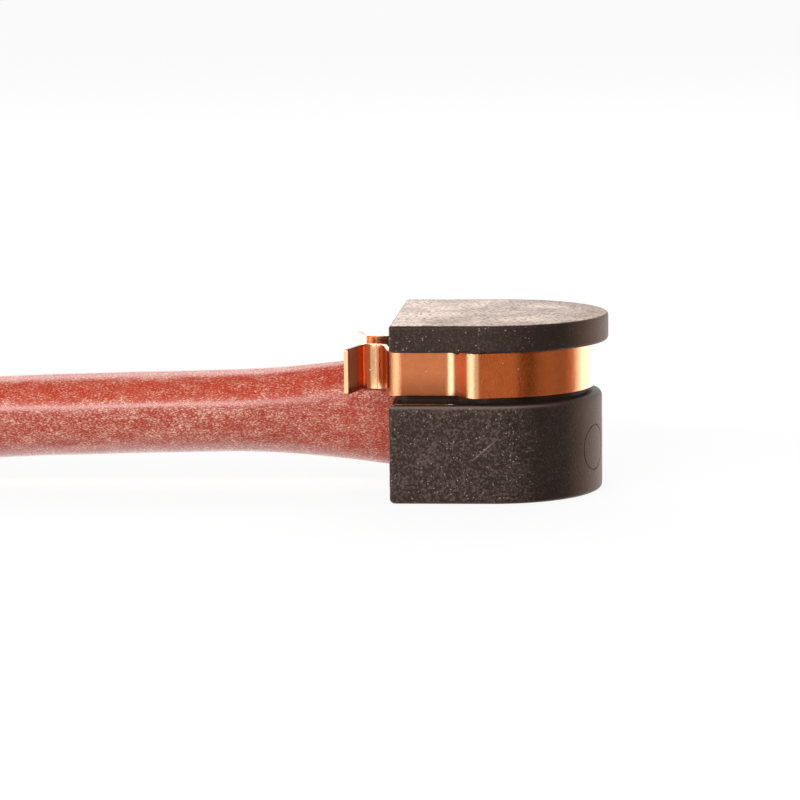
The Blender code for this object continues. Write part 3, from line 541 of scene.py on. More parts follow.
along_scratch = add("Mapping", {
    "Vector": grid, "Location": SCRATCH_MIDDLE, "Rotation": (0.0, -SCRATCH_ANGLE, 0.0)},
    vector_type="TEXTURE")
scratch_run = add("SeparateXYZ", {"Vector": along_scratch}, "X")
scratch_off = add("SeparateXYZ", {"Vector": along_scratch}, "Z")
depth = add("SeparateXYZ", {"Vector": grid}, "Y")
run_size = add("Math", {0: scratch_run}, operation="ABSOLUTE")
off_size = add("Math", {0: scratch_off}, operation="ABSOLUTE")
in_length = add("MapRange", {
    "Value": run_size, "From Min": SCRATCH_HALF_LENGTH, "From Max": 0.5 * SCRATCH_HALF_LENGTH})
in_width = add("MapRange", {
    "Value": off_size, "From Min": 1.5 * SCRATCH_HALF_WIDTH, "From Max": 0.5 * SCRATCH_HALF_WIDTH})
in_front = add("Math", {0: depth, 1: FRONT_Y}, operation="LESS_THAN")
scratch_share = add("Math", {0: in_length, 1: SCRATCH_SHARE}, operation="MULTIPLY")
for mask in (in_width, in_front):
    scratch_share = add("Math", {0: scratch_share, 1: mask}, operation="MULTIPLY")
tone_now = add("Mix", {0: scratch_share, 6: tone_now, 7: tone("#9A8D89")}, 2, data_type="RGBA")
print("phenolic: scratch", 2 * SCRATCH_HALF_LENGTH, "mm long on the front")

# %% [markdown]
# ## The smooth groove
#
# The groove for the clip is formed by polished slides of the mould, so it is smoother than the rest, and
# shows the strip in a faint reflection. It is also painted darker, as painted shade under the flange's
# overhang. Two bumps finish the skin: the filler's grain, and the rubbing.

# %% Phenolic: the groove and the skin's relief
GROOVE_FROM, GROOVE_TO = 4.48, 4.56
GROOVE_END = 7.03
GROOVE_NOSE_X = 3.2              # in front of this the groove is worn dull
GROOVE_ROUGHNESS = 0.15
GRAIN_HEIGHT = 0.018
RUB_HEIGHT = 0.020

above_ledge = add("MapRange", {"Value": height, "From Min": GROOVE_FROM, "From Max": GROOVE_TO})
below_flange = add("Math", {0: height, 1: GROOVE_END}, operation="LESS_THAN")
behind_nose = add("Math", {0: place_x, 1: GROOVE_NOSE_X}, operation="LESS_THAN")
in_groove = add("Math", {0: above_ledge, 1: below_flange}, operation="MULTIPLY")
smooth_groove = add("Math", {0: in_groove, 1: behind_nose}, operation="MULTIPLY")
skin_rough = add("MapRange", {"Value": powder, "To Min": 0.50, "To Max": 0.65})
moulding_rough = add("Mix", {0: smooth_groove, 2: skin_rough, 3: GROOVE_ROUGHNESS}, 0, data_type="FLOAT")
# painted shade: the groove, under the flange's overhang, is darkened
tone_now = add("Mix", {0: in_groove, 6: tone_now, 7: tone("#241915")}, 2, data_type="RGBA")
grain_bump = add("Bump", {"Height": filler, "Distance": GRAIN_HEIGHT * MM})
rub_bump = add("Bump", {"Height": rubbed_and_lit_top, "Distance": RUB_HEIGHT * MM, "Normal": grain_bump})
feed(shader, {"Base Color": tone_now, "Roughness": moulding_rough, "Normal": rub_bump})
print("phenolic: smooth groove up to", GROOVE_END, "mm")

# %% [markdown]
# ## The head's outlines
#
# Block, neck and flange are one moulding. Three solids could be joined by Booleans. Here one loft climbs
# the whole outside instead, from the wear face up to the flange, so that each edge gets the round that the
# mould gives it. A loft needs the same number of stations in every ring, so each outline is drawn as the
# same four stretches: nose, flank, corner and rear.

# %% Outlines of the head
NOSE_RADIUS = 5.0
NOSE_STEPS = 96
SIDE_STEPS = 44
CORNER_STEPS = 6
REAR_STEPS = 8
UPRIGHT_EDGE_RADIUS = 0.18
quarter = math.pi / 2


def spread(line, count):
    """Points at even distances along a line."""
    lengths = [0.0]
    for before, after in zip(line, line[1:]):
        lengths.append(lengths[-1] + (after - before).length)
    points = []
    place = 0
    for step in range(count + 1):
        target = lengths[-1] * step / count
        while place < len(lengths) - 2 and lengths[place + 1] < target:
            place += 1
        share = (target - lengths[place]) / (lengths[place + 1] - lengths[place])
        points.append(line[place].lerp(line[place + 1], min(1.0, share)))
    return points


def outline(nose_radius, nose_end, shoulder, side, corner_radius, rear_x):
    """A closed ring from the middle of the nose along +Y to the middle of the rear, and back along -Y."""
    nose = arc((0.0, 0.0), nose_radius, 0.0, nose_end, NOSE_STEPS // 2)
    center = (rear_x + corner_radius, side - corner_radius)
    turn = arc(center, corner_radius, quarter, 2 * quarter, CORNER_STEPS)
    flank = spread([nose[-1], *[Vector(point) for point in shoulder], turn[0]], SIDE_STEPS)
    rear = [turn[-1].lerp(Vector((rear_x, 0.0)), step / REAR_STEPS) for step in range(1, REAR_STEPS + 1)]
    half = nose + flank[1:] + turn[1:] + rear
    return half + [Vector((point.x, -point.y)) for point in reversed(half[1:-1])]


# %% [markdown]
# ## Block, flange and neck
#
# The flange stands 0.3 mm proud of the block all round, so that the pad's plate is held between the two.
# The neck is what the clip runs round: wide at the front, then stepped in to narrower sides, which gives
# the strip its room to spring.

# %% Three outlines from the same function
FLANGE_OVERHANG = 0.30
FLANGE_REAR_SETBACK = 0.07
NECK_NOSE_RADIUS = 4.32
NECK_SIDE = 3.65
NECK_SHOULDER_FRONT = -0.20
NECK_SHOULDER_REAR = -1.50
NECK_REAR_X = -4.39
NECK_CORNER_RADIUS = 0.55


def block_outline(inset):
    side = NOSE_RADIUS - inset
    return outline(side, quarter, [], side, UPRIGHT_EDGE_RADIUS, REAR_X + inset)


def flange_outline(inset):
    side = NOSE_RADIUS + FLANGE_OVERHANG - inset
    return outline(side, quarter, [], side, UPRIGHT_EDGE_RADIUS, REAR_X + FLANGE_REAR_SETBACK + inset)


neck_end = math.acos(NECK_SHOULDER_FRONT / NECK_NOSE_RADIUS)
neck_shoulder = [(NECK_SHOULDER_REAR, NECK_SIDE)]
neck_outline = outline(
    NECK_NOSE_RADIUS, neck_end, neck_shoulder, NECK_SIDE, NECK_CORNER_RADIUS, NECK_REAR_X)
print("stations round the head:", len(neck_outline))

# %% [markdown]
# ## Worn edges
#
# The head's profile is a list: how far each ring stands inside the outline, and at what height. Mould edges
# are never perfectly sharp, and on this one the upright rear edges are slightly ragged. A little noise,
# strongest there, moves the points in and out by a few hundredths of a millimetre.

# %% Rounds and wear for the rings
ROUND_STEPS = 5
WALL_WAVE = 0.006
WALL_WAVES_PER_MM = 1.1
RAGGED_DEPTH = 0.030
RAGS_PER_MM = 3.7
RAGGED_REACH = 0.5


def edge_round(radius, height, first, last):
    """Insets and heights along a quarter round. Its angles count upwards from the wall."""
    steps = [first + (last - first) * step / ROUND_STEPS for step in range(ROUND_STEPS + 1)]
    return [(radius * (1.0 - math.cos(a)), height + radius * math.sin(a)) for a in steps]


def worn(point, height):
    """Moves a station of the wall along the level, more at the ragged rear edges."""
    place = Vector((point.x, point.y, height))
    edge = Vector((REAR_X, math.copysign(NOSE_RADIUS, point.y)))
    ragged = max(0.0, 1.0 - (point - edge).length / RAGGED_REACH)
    wave = WALL_WAVE * noise.noise(place * WALL_WAVES_PER_MM)
    rag = RAGGED_DEPTH * ragged * noise.noise(place * RAGS_PER_MM)
    return point + point.normalized() * (wave + rag)


# %% [markdown]
# ## Climbing the outside
#
# The rings go up the block, in over the ledge, up the neck, out under the flange and up its wall. A tiny
# burr hangs from the flange's lower edge, where the two halves of the mould met: a few stations are pulled
# down.

# %% Loft the head
BLOCK_HEIGHT = 4.60
FLANGE_BASE = 7.02
HEAD_HEIGHT = 8.28
RIM_RADIUS = 0.25
FOOT_RADIUS = 0.20
FLANGE_EDGE_RADIUS = 0.15
BLOCK_WALL_STEPS = 26
FLANGE_WALL_STEPS = 8
BURR_X = -1.50
BURR_WIDTH = 0.11
BURR_DROP = 0.09


def wall(low, high, steps):
    return [(0.0, low + (high - low) * step / steps) for step in range(1, steps)]


def burr(point):
    """How far the flange's lower edge hangs down at a station."""
    return BURR_DROP * math.exp(-((point.x - BURR_X) / BURR_WIDTH) ** 2) if point.y < 0 else 0.0


rings = []
rim_start = BLOCK_HEIGHT - RIM_RADIUS
block_profile = edge_round(FOOT_RADIUS, FOOT_RADIUS, -quarter, 0.0)
block_profile += wall(FOOT_RADIUS, rim_start, BLOCK_WALL_STEPS)
block_profile += edge_round(RIM_RADIUS, rim_start, 0.0, quarter)
for inset, level in block_profile:
    rings.append([(*worn(point, level), level) for point in block_outline(inset)])
ledge = block_outline(RIM_RADIUS)
for share in (0.35, 0.7, 1.0):
    rings.append([(*a.lerp(b, share), BLOCK_HEIGHT) for a, b in zip(ledge, neck_outline)])
rings.append([(*point, FLANGE_BASE) for point in neck_outline])
underside = flange_outline(FLANGE_EDGE_RADIUS)
for share in (0.35, 0.7):
    rings.append([(*a.lerp(b, share), FLANGE_BASE) for a, b in zip(neck_outline, underside)])
low_edge = FLANGE_BASE + FLANGE_EDGE_RADIUS
high_edge = HEAD_HEIGHT - FLANGE_EDGE_RADIUS
for inset, level in edge_round(FLANGE_EDGE_RADIUS, low_edge, -quarter, 0.0):
    rings.append([(*worn(point, level), level - burr(point)) for point in flange_outline(inset)])
flange_profile = wall(low_edge, high_edge, FLANGE_WALL_STEPS)
flange_profile += edge_round(FLANGE_EDGE_RADIUS, high_edge, 0.0, quarter)
for inset, level in flange_profile:
    rings.append([(*worn(point, level), level) for point in flange_outline(inset)])
head_mesh = loft("moulded_head", rings)
print("rings up the head:", len(rings))

# %% [markdown]
# ## Cutting tools
#
# Two things are cut into the moulding: the oval socket that the sleeve sits in, and the fine circle that a
# round pin of the mould left on the nose. The circle is a real groove. Its cutter is a thin band that
# follows the curved nose, because a flat ring would cut deep in its middle and miss at its sides.

# %% Cut the socket and the mould pin's circle
SOCKET_CLEARANCE = 0.06
SOCKET_SIDES = 64
MARK_AZIMUTH = math.radians(-20.5)
MARK_HEIGHT = 2.16
MARK_RADIUS = 1.05
MARK_WIDTH = 0.05
MARK_DEPTH = 0.04
MARK_SIDES = 72


def cut(mesh, cutters):
    """Takes the cutters out of a mesh, with the exact Boolean, and gives back the new mesh."""
    solid = bpy.data.objects.new("solid", mesh)
    scene.collection.objects.link(solid)
    tools = []
    for cutter in cutters:
        tool = bpy.data.objects.new(cutter.name, cutter)
        scene.collection.objects.link(tool)
        tools.append(tool)
        modifier = solid.modifiers.new("cut", "BOOLEAN")
        modifier.operation = "DIFFERENCE"
        modifier.solver = "EXACT"
        modifier.object = tool
    bpy.context.view_layer.update()
    evaluated = solid.evaluated_get(bpy.context.evaluated_depsgraph_get())
    result = bpy.data.meshes.new_from_object(evaluated)
    for extra in (solid, *tools):
        bpy.data.objects.remove(extra)
    result.name = mesh.name
    return result


def oval_ring(x):
    height = OVAL_HEIGHT / 2 + SOCKET_CLEARANCE
    width = OVAL_WIDTH / 2 + SOCKET_CLEARANCE
    angles = [2 * math.pi * index / SOCKET_SIDES for index in range(SOCKET_SIDES)]
    return [(x, width * math.cos(a), LEAD_HEIGHT + height * math.sin(a)) for a in angles]


band = []
for index in range(MARK_SIDES):
    turn = 2 * math.pi * index / MARK_SIDES
    section = []
    for offset, depth in ((-0.5, -1), (0.5, -1), (0.5, 1), (-0.5, 1)):
        radius = MARK_RADIUS + offset * MARK_WIDTH
        azimuth = MARK_AZIMUTH + radius * math.cos(turn) / NOSE_RADIUS
        reach = NOSE_RADIUS + depth * MARK_DEPTH
        section.append((
            reach * math.cos(azimuth), reach * math.sin(azimuth), MARK_HEIGHT + radius * math.sin(turn)))
    band.append(section)
socket = loft("socket", [oval_ring(x) for x in (SOCKET_FLOOR_X, REAR_X - 1.0)])
mark = loft("mould pin circle", band, endless=True)
finish_piece("moulded_head", cut(head_mesh, [socket, mark]), moulding, "moulding", "head_moulding")

# %% [markdown]
# ## Bronze strip
#
# The clip is phosphor bronze: copper with a little tin, rolled to a hard strip 0.2 mm thick and bent cold.
# It springs like steel and doesn't rust. Flat runs keep the dull orange-brown skin of the rolling mill.
# Each
# bend and the nose are painted paler: partly burnished by the bending tools and by the plate that the nose
# is pushed into, partly painted highlight, which whitens the highlights there. The mesh will carry a value
# called bend that says how sharply the strip turns.

# %% Phosphor bronze: the dull skin, and bends burnished and painted with highlight
SKIN_CLOUD = 0.35
BURNISH_AND_HIGHLIGHT_FROM, BURNISH_AND_HIGHLIGHT_FULL = 0.2, 0.8
POLISH_AND_HIGHLIGHT_FROM, POLISH_AND_HIGHLIGHT_TO = 3.6, 4.15

bronze, add, shader, grid = start_material(
    "phosphor bronze strip, rolled and bent", Metallic=1.0, Coat_Weight=0.12, Coat_Roughness=0.15)
bend = add("Attribute", {}, "Fac", attribute_name="bend")
burnished_and_highlight = add("MapRange", {
    "Value": bend, "From Min": BURNISH_AND_HIGHLIGHT_FROM, "From Max": BURNISH_AND_HIGHLIGHT_FULL}, interpolation_type="SMOOTHSTEP")
place_x = add("SeparateXYZ", {"Vector": grid}, "X")
place_z = add("SeparateXYZ", {"Vector": grid}, "Z")
polished_and_highlight = add("MapRange", {
    "Value": place_x, "From Min": POLISH_AND_HIGHLIGHT_FROM, "From Max": POLISH_AND_HIGHLIGHT_TO}, interpolation_type="SMOOTHSTEP")
bright = add("Math", {0: burnished_and_highlight, 1: polished_and_highlight}, operation="MAXIMUM")
skin_tone = clouded(add, grid, SKIN_CLOUD, "#D8662F", "#E87E46")[0]
print("bronze: skin clouds of", SKIN_CLOUD, "mm")

# %% [markdown]
# ## Haze and stains
# The legs are mixed towards a paler, greyer tone. Their lower part, where the strip sits deep between
# block and flange, is painted darker as painted shade, and so are the dull flat of the throat and, darkest,
# the flared tails, which reflect the dark head and the shaded sleeve.

# %% Phosphor bronze: paler legs, and painted shade low down, at the throat and at the tails
LEG_PALER_FROM, LEG_PALER_TO = -1.8, -1.3
LEG_PALER_END = -5.0
LEG_PALER_SHARE = 0.35
LOW_SHADE_TOP, LOW_SHADE_FADE = 5.9, 0.8
LOW_SHADE_FROM, LOW_SHADE_TO = -4.3, -2.1
LOW_SHADE_SHARE = 0.6
THROAT_DULL_FROM, THROAT_DULL_TO = -6.04, -5.78
THROAT_SHADE_SHARE = 0.5
TAIL_SHADE_FROM, TAIL_SHADE_TO = -6.18, -6.28
TAIL_SHADE_SHARE = 0.85

# the legs are mixed towards a paler, greyer tone
on_leg = add("MapRange", {
    "Value": place_x, "From Min": LEG_PALER_FROM, "From Max": LEG_PALER_TO, "To Min": LEG_PALER_SHARE,
    "To Max": 0.0})
before_tail = add("Math", {0: place_x, 1: LEG_PALER_END}, operation="GREATER_THAN")
leg_paler = add("Math", {0: on_leg, 1: before_tail}, operation="MULTIPLY")
skin_tone = add("Mix", {0: leg_paler, 6: skin_tone, 7: tone("#E8A277")}, 2, data_type="RGBA")
# painted shade: the lower part of the legs, deep between block and flange, is darkened
painted_shade_share = add("MapRange", {
    "Value": place_z, "From Min": LOW_SHADE_TOP, "From Max": LOW_SHADE_TOP - LOW_SHADE_FADE, "To Max": LOW_SHADE_SHARE})
behind = add("Math", {0: place_x, 1: LOW_SHADE_TO}, operation="LESS_THAN")
before_corner = add("Math", {0: place_x, 1: LOW_SHADE_FROM}, operation="GREATER_THAN")
for mask in (behind, before_corner):
    painted_shade_share = add("Math", {0: painted_shade_share, 1: mask}, operation="MULTIPLY")
# painted shade: the dull flat of the throat is darkened too
in_throat = add("Math", {0: place_x, 1: THROAT_DULL_TO}, operation="LESS_THAN")
before_flare = add("Math", {0: place_x, 1: THROAT_DULL_FROM}, operation="GREATER_THAN")
throat_shade_share = add("Math", {0: in_throat, 1: before_flare}, operation="MULTIPLY")
throat_shade_share = add("Math", {0: throat_shade_share, 1: THROAT_SHADE_SHARE}, operation="MULTIPLY")
painted_shade_share = add("Math", {0: painted_shade_share, 1: throat_shade_share}, operation="MAXIMUM")
skin_tone = add("Mix", {0: painted_shade_share, 6: skin_tone, 7: tone("#8E4A26")}, 2, data_type="RGBA")
# painted shade: the flared tails are darkened, where they reflect the dark head and the shaded sleeve
tail_shade = add("MapRange", {
    "Value": place_x, "From Min": TAIL_SHADE_FROM, "From Max": TAIL_SHADE_TO, "To Max": TAIL_SHADE_SHARE})
skin_tone = add("Mix", {0: tail_shade, 6: skin_tone, 7: tone("#5E351E")}, 2, data_type="RGBA")
# painted highlight: the paler tone on bends and nose, partly burnish, partly painted highlight
bronze_tone = add("Mix", {0: bright, 6: skin_tone, 7: tone("#F2C093")}, 2, data_type="RGBA")
print("bronze: stained below", LOW_SHADE_TOP, "mm")

# %% [markdown]
# ## Mill lines, pits and dust
#
# The rolls leave lines along the strip: noise that is stretched along it and squeezed across it. Bending
# opens tiny pits, which break up the edges of the highlights. And some specks of the packing's white dust
# stick.

# %% Phosphor bronze: lines, pits and dust
MILL_LINE = 0.04                 # real ones are finer; drawn coarser, so that they show
MILL_LINE_STRETCH = 12.0
LINE_DEPTH = 0.0010
PIT = 0.06
PIT_DEPTH = 0.004
PIT_ROUGHNESS = 0.05             # added in a pit
DUST_CELL = 0.32
DUST_RADIUS = 0.09               # as a share of the cell
DUST_RARITY = 0.75

stretched = add("Mapping", {"Vector": grid, "Scale": (1 / MILL_LINE_STRETCH, 1 / MILL_LINE_STRETCH, 1.0)})
mill_noise = add("TexNoise", {"Vector": stretched, "Scale": 1 / MILL_LINE, "Detail": 3.0, "Roughness": 0.6})
mill_lines = add("MapRange", {"Value": mill_noise, "From Min": NOISE_LOW, "From Max": NOISE_HIGH})
pit_noise = add("TexNoise", {"Vector": grid, "Scale": 1 / PIT, "Detail": 2.0, "Roughness": 0.7})
pits = add("MapRange", {"Value": pit_noise, "From Min": 0.40, "From Max": 0.70})
dust = rare_specks(add, grid, DUST_CELL, DUST_RADIUS, DUST_RARITY)
dusty_tone = add("Mix", {0: dust, 6: bronze_tone, 7: tone("#FFF0DC")}, 2, data_type="RGBA")
line_rough = add("MapRange", {"Value": mill_lines, "To Min": 0.11, "To Max": 0.17})
pit_share = add("Math", {0: pits, 1: PIT_ROUGHNESS}, operation="MULTIPLY")
metal_rough = add("Math", {0: line_rough, 1: pit_share}, operation="ADD")
line_bump = add("Bump", {"Height": mill_lines, "Distance": LINE_DEPTH * MM})
pit_bump = add("Bump", {"Height": pits, "Distance": PIT_DEPTH * MM, "Normal": line_bump})
feed(shader, {"Base Color": dusty_tone, "Roughness": metal_rough, "Normal": pit_bump})
print("bronze: mill lines", MILL_LINE, "mm apart, pits of", PIT, "mm")

# %% [markdown]
# ## The clip's line
#
# Seen from above, the strip runs round the neck: an arc at the nose, a bow on each side that presses on the
# plate, a shoulder, a straight leg, and a turn behind the head. Behind it the two ends stand on either side
# of the sleeve and flare out, so that pliers can squeeze them. One half is drawn as a line with rounded
# bends, and the other half is its mirror image.

# %% The strip's line seen from above
CLIP_NOSE_RADIUS = 4.62
BOW = Vector((-0.86, 4.94))
LEG_Y = 3.95
CLIP_REAR_X = -4.75
THROAT_X = -5.15
THROAT_Y = 1.553
THROAT_LEAN = math.radians(11.5)
LEAN_FROM_X = -5.70
TAIL_X = -6.05
FLARE_X = -6.63
FLARE_Y = 3.46
BEND_STEP = math.radians(4)
CLIP_SPACING = 0.12

nose_end = math.atan2(BOW.y, BOW.x) - math.acos(CLIP_NOSE_RADIUS / BOW.length)
nose = arc((0.0, 0.0), CLIP_NOSE_RADIUS, 0.0, nose_end, 40)
bent = rounded([
    (*nose[-1], 0.0),
    (*BOW, 0.68),
    (-1.80, LEG_Y, 0.55),
    (CLIP_REAR_X, LEG_Y, 0.78),
    (THROAT_X, THROAT_Y + (THROAT_X - LEAN_FROM_X) * math.tan(THROAT_LEAN), 0.42),
    (LEAN_FROM_X, THROAT_Y, 0.6),
    (TAIL_X, THROAT_Y, 0.25),
    (FLARE_X, FLARE_Y, 0.0),
], BEND_STEP)
half_line = [nose[0]]
for before, after in zip(nose + bent[1:], nose[1:] + bent[1:]):
    parts = max(1, math.ceil((after - before).length / CLIP_SPACING))
    half_line += [before.lerp(after, part / parts) for part in range(1, parts + 1)]
clip_line = [Vector((point.x, -point.y)) for point in reversed(half_line[1:])] + half_line
print("strip along its outer face:", len(clip_line), "points")

# %% [markdown]
# ## The strip's section
#
# Strip is slit from a wide sheet, so its edges are nearly square, with a trace of a round. The section is
# one closed ring, with extra points up its faces, so that the rounded corners of the tails have points to
# move.

# %% The section across the strip
STRIP_THICKNESS = 0.20
STRIP_HEIGHT = 2.12
STRIP_EDGE_RADIUS = 0.045
FACE_STEPS = 10
LONG_RUN = 1.0                   # only the two faces are longer than this


def strip_section():
    """Points round the strip as (depth from the outer face, height from the middle)."""
    half = STRIP_HEIGHT / 2
    corners = [(0, -half), (0, half), (-STRIP_THICKNESS, half), (-STRIP_THICKNESS, -half)]
    ring = []
    for index, (x, y) in enumerate(corners):
        center_x = x + (STRIP_EDGE_RADIUS if x < 0 else -STRIP_EDGE_RADIUS)
        center = (center_x, y - math.copysign(STRIP_EDGE_RADIUS, y))
        start = (index - 1) * quarter
        ring += arc(center, STRIP_EDGE_RADIUS, start, start + quarter, 4)
    points = []
    for before, after in zip(ring, ring[1:] + ring[:1]):
        steps = FACE_STEPS if (after - before).length > LONG_RUN else 1
        points += [before.lerp(after, step / steps) for step in range(steps)]
    return points


section = strip_section()
print("strip section:", len(section), "points")

# %% [markdown]
# ## Sweeping the strip
#
# The section travels along the line. At each point it stands square to the line's direction. Near the two
# ends it gets shorter along a quarter circle, which rounds the tails' corners, as the shears leave them.

# %% Sweep the section along the line
STRIP_BASE = 4.85
TAIL_CORNER_RADIUS = 0.06
strip_middle = STRIP_BASE + STRIP_HEIGHT / 2

travelled = [0.0]
for before, after in zip(clip_line, clip_line[1:]):
    travelled.append(travelled[-1] + (after - before).length)
rings = []
for index, point in enumerate(clip_line):
    before = clip_line[max(0, index - 1)]
    after = clip_line[min(len(clip_line) - 1, index + 1)]
    ahead = (after - before).normalized()
    outwards = Vector((ahead.y, -ahead.x))
    from_end = min(travelled[index], travelled[-1] - travelled[index])
    in_corner = max(0.0, TAIL_CORNER_RADIUS - from_end)
    drop = TAIL_CORNER_RADIUS - math.sqrt(max(0.0, TAIL_CORNER_RADIUS ** 2 - in_corner ** 2))
    squeeze = 1.0 - drop / (STRIP_HEIGHT / 2)
    places = [(point + outwards * depth, strip_middle + level * squeeze) for depth, level in section]
    rings.append([(place.x, place.y, level) for place, level in places])
clip_mesh = loft("bronze_clip", rings)
print("strip length:", round(travelled[-1], 2), "mm")

# %% [markdown]
# ## Marking the bends
# The material needs to know where the strip is bent. At every point of the line, the turn of the line
# divided by the distance is its curvature. It is averaged with its neighbours and stored on the points of
# the mesh. Three places get a value of their own, which sets their painted highlight: the rear corners get
# less, the throat gets the full value where it leans and little on its dull flat behind that, and the cut
# ends get a fixed share, partly the bright fresh metal that the shears leave, partly painted highlight.

# %% Store how sharply the strip turns, and where the painted highlight goes
FULL_BEND = 2.4                  # radians in each millimetre
AVERAGE_REACH = 1
CORNER_FROM, CORNER_HIGHLIGHT = -4.2, 0.75
LEAN_HIGHLIGHT_FROM, LEAN_HIGHLIGHT_TO = -5.74, -5.46
THROAT_HIGHLIGHT = 0.3
CUT_END_HIGHLIGHT = 0.55

turns = [0.0]
for before, point, after in zip(clip_line, clip_line[1:], clip_line[2:]):
    arriving = point - before
    leaving = after - point
    turns.append(abs(arriving.angle_signed(leaving)) / ((arriving.length + leaving.length) / 2))
turns.append(0.0)
bend_values = clip_mesh.attributes.new("bend", "FLOAT", "POINT")
for index in range(len(clip_line)):
    x = clip_line[index].x
    nearby = turns[max(0, index - AVERAGE_REACH):index + AVERAGE_REACH + 1]
    value = min(1.0, sum(nearby) / len(nearby) / FULL_BEND)
    # painted highlight: these places get their own share of the paler tone
    if THROAT_DULL_FROM < x < THROAT_DULL_TO:
        value *= THROAT_HIGHLIGHT
    elif x < CORNER_FROM:
        value *= CORNER_HIGHLIGHT
    if LEAN_HIGHLIGHT_FROM < x < LEAN_HIGHLIGHT_TO:
        value = 1.0
    if index in (0, len(clip_line) - 1):
        value = CUT_END_HIGHLIGHT
    for place in range(len(section)):
        bend_values.data[index * len(section) + place].value = value
finish_piece("bronze_clip", clip_mesh, bronze, "bronze", "spring_clip")

# %% [markdown]
# ## Turned and moulded round pieces
#
# The plug, its pin and its seals are round, so each is a profile turned about the plug's axis. Blender's
# Screw modifier does this. A loft of rings does it as well and keeps every piece in the same place and
# unit. A list of corners with a small radius each gives the profile the soft edges of a mould.

# %% A tool for turned pieces
ROUND_STEP = math.radians(18)


def turned(name, profile, sides):
    """Turns (radius, distance from the cable entry) round the plug's axis. The profile is a closed line."""
    angles = [2 * math.pi * index / sides for index in range(sides)]
    rings = []
    for radius, place in profile:
        rings.append([
            (PLUG_X - place, radius * math.cos(a), PLUG_HEIGHT + radius * math.sin(a)) for a in angles])
    return loft(name, rings, endless=True)


def softened(corners, radius):
    """A closed profile whose corners are rounded."""
    first = Vector(corners[0]).lerp(Vector(corners[-1]), 0.5)
    line = rounded([(*first, 0.0), *[(x, y, radius) for x, y in corners], (*first, 0.0)], ROUND_STEP)
    return line[:-1]


# %% [markdown]
# ## A tool for plain finishes
#
# Nylon, brass and seal rubber differ in their numbers, not in their recipe: two tones in clouds, and a
# finer grain that changes the gloss a little and stands up as relief. One function holds the recipe. The
# grain can be drawn out round the pin, which is how a turning tool leaves it.

# %% Clouds of tone under a grain
def grained(name, tones, cloud_size, grain, roughness, relief, drawn_out=1.0, **values):
    """A material with two tones in clouds and a grain, which is given as a noise's own inputs."""
    material, add, shader, grid = start_material(name, **values)
    tone_now = clouded(add, grid, cloud_size, *tones)[0]
    place = add("Mapping", {"Vector": grid, "Scale": (1.0, drawn_out, drawn_out)})
    marks = add("TexNoise", {"Vector": place, **grain})
    rough = add("MapRange", {
        "Value": marks, "From Min": NOISE_LOW, "From Max": NOISE_HIGH, "To Min": roughness[0],
        "To Max": roughness[1]})
    bump = add("Bump", {"Height": marks, "Distance": relief * MM})
    feed(shader, {"Base Color": tone_now, "Roughness": rough, "Normal": bump})
    print(f"{name}: grain of {1 / grain['Scale']:.2f} mm")
    return material


# %% [markdown]
# ## Black nylon
#
# The plug is polyamide, injection moulded. The mould was spark-eroded, which gives the plastic a fine even
# texture and takes away most of its gloss.

# %% Polyamide, injection moulded
EROSION_GRAIN = 0.12
COLOUR_CLOUD = 1.5

nylon = grained(
    "polyamide, injection moulded", ("#191919", "#272729"), COLOUR_CLOUD,
    {"Scale": 1 / EROSION_GRAIN, "Detail": 2.0, "Roughness": 0.6}, (0.42, 0.56), 0.012, IOR=1.53)

# %% [markdown]
# ## Turned brass
#
# The pin is turned from brass bar. The tool leaves rings round it, a few hundredths of a millimetre apart,
# which stretch every highlight along the pin. So the noise is fine along the axis and coarse across it.

# %% Brass, turned
TOOL_PITCH = 0.08
TOOL_RING = 0.05                 # round the pin the lines are this much less dense
TARNISH_CLOUD = 0.8

brass = grained(
    "brass, turned", ("#C39B50", "#E2C27E"), TARNISH_CLOUD, {"Scale": 1 / TOOL_PITCH, "Detail": 2.0},
    (0.22, 0.34), 0.003, drawn_out=TOOL_RING, Metallic=1.0)

# %% [markdown]
# ## Seal rubber
#
# The two seals are silicone as well, but pressed in a polished mould and left undusted, so they are shinier
# and more orange than the sleeve.

# %% Silicone, moulded
SEAL_CLOUD = 0.8
SEAL_SKIN = 0.15

seal_rubber = grained(
    "silicone rubber, moulded", ("#B04E26", "#C86839"), SEAL_CLOUD, {"Scale": 1 / SEAL_SKIN, "Detail": 3.0},
    (0.38, 0.50), 0.006, IOR=1.43)

# %% [markdown]
# ## The wire inside
#
# Hidden in the sleeve is tinned copper strand in a white fluoropolymer skin, which stands the heat of a
# brake. The measured model's own solids are right for these, so they keep their shapes and only get their
# materials.

# %% Fluoropolymer and tinned copper
SKIN_HAZE = 1.0
STRAND_CLOUD = 0.3
wire_skin, add, shader, grid = start_material("fluoropolymer, extruded", IOR=1.35)
skin_tone, cloud = clouded(add, grid, SKIN_HAZE, "#DAD6CC", "#EFECE5")
skin_rough = add("MapRange", {"Value": cloud, "To Min": 0.28, "To Max": 0.44})
feed(shader, {"Base Color": skin_tone, "Roughness": skin_rough})

tinned, add, shader, grid = start_material("copper strand, tinned", Metallic=1.0)
strand_tone, cloud = clouded(add, grid, STRAND_CLOUD, "#C4BDB7", "#DDAE92")
strand_rough = add("MapRange", {"Value": cloud, "To Min": 0.26, "To Max": 0.44})
feed(shader, {"Base Color": strand_tone, "Roughness": strand_rough})

finishes = {"sensing_contact": brass, "lead_conductor": tinned, "lead_insulation": wire_skin}
for node, finish in finishes.items():
    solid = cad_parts[node]
    solid.data.materials.clear()
    solid.data.materials.append(finish)
    print(node, "is now", finish.name)

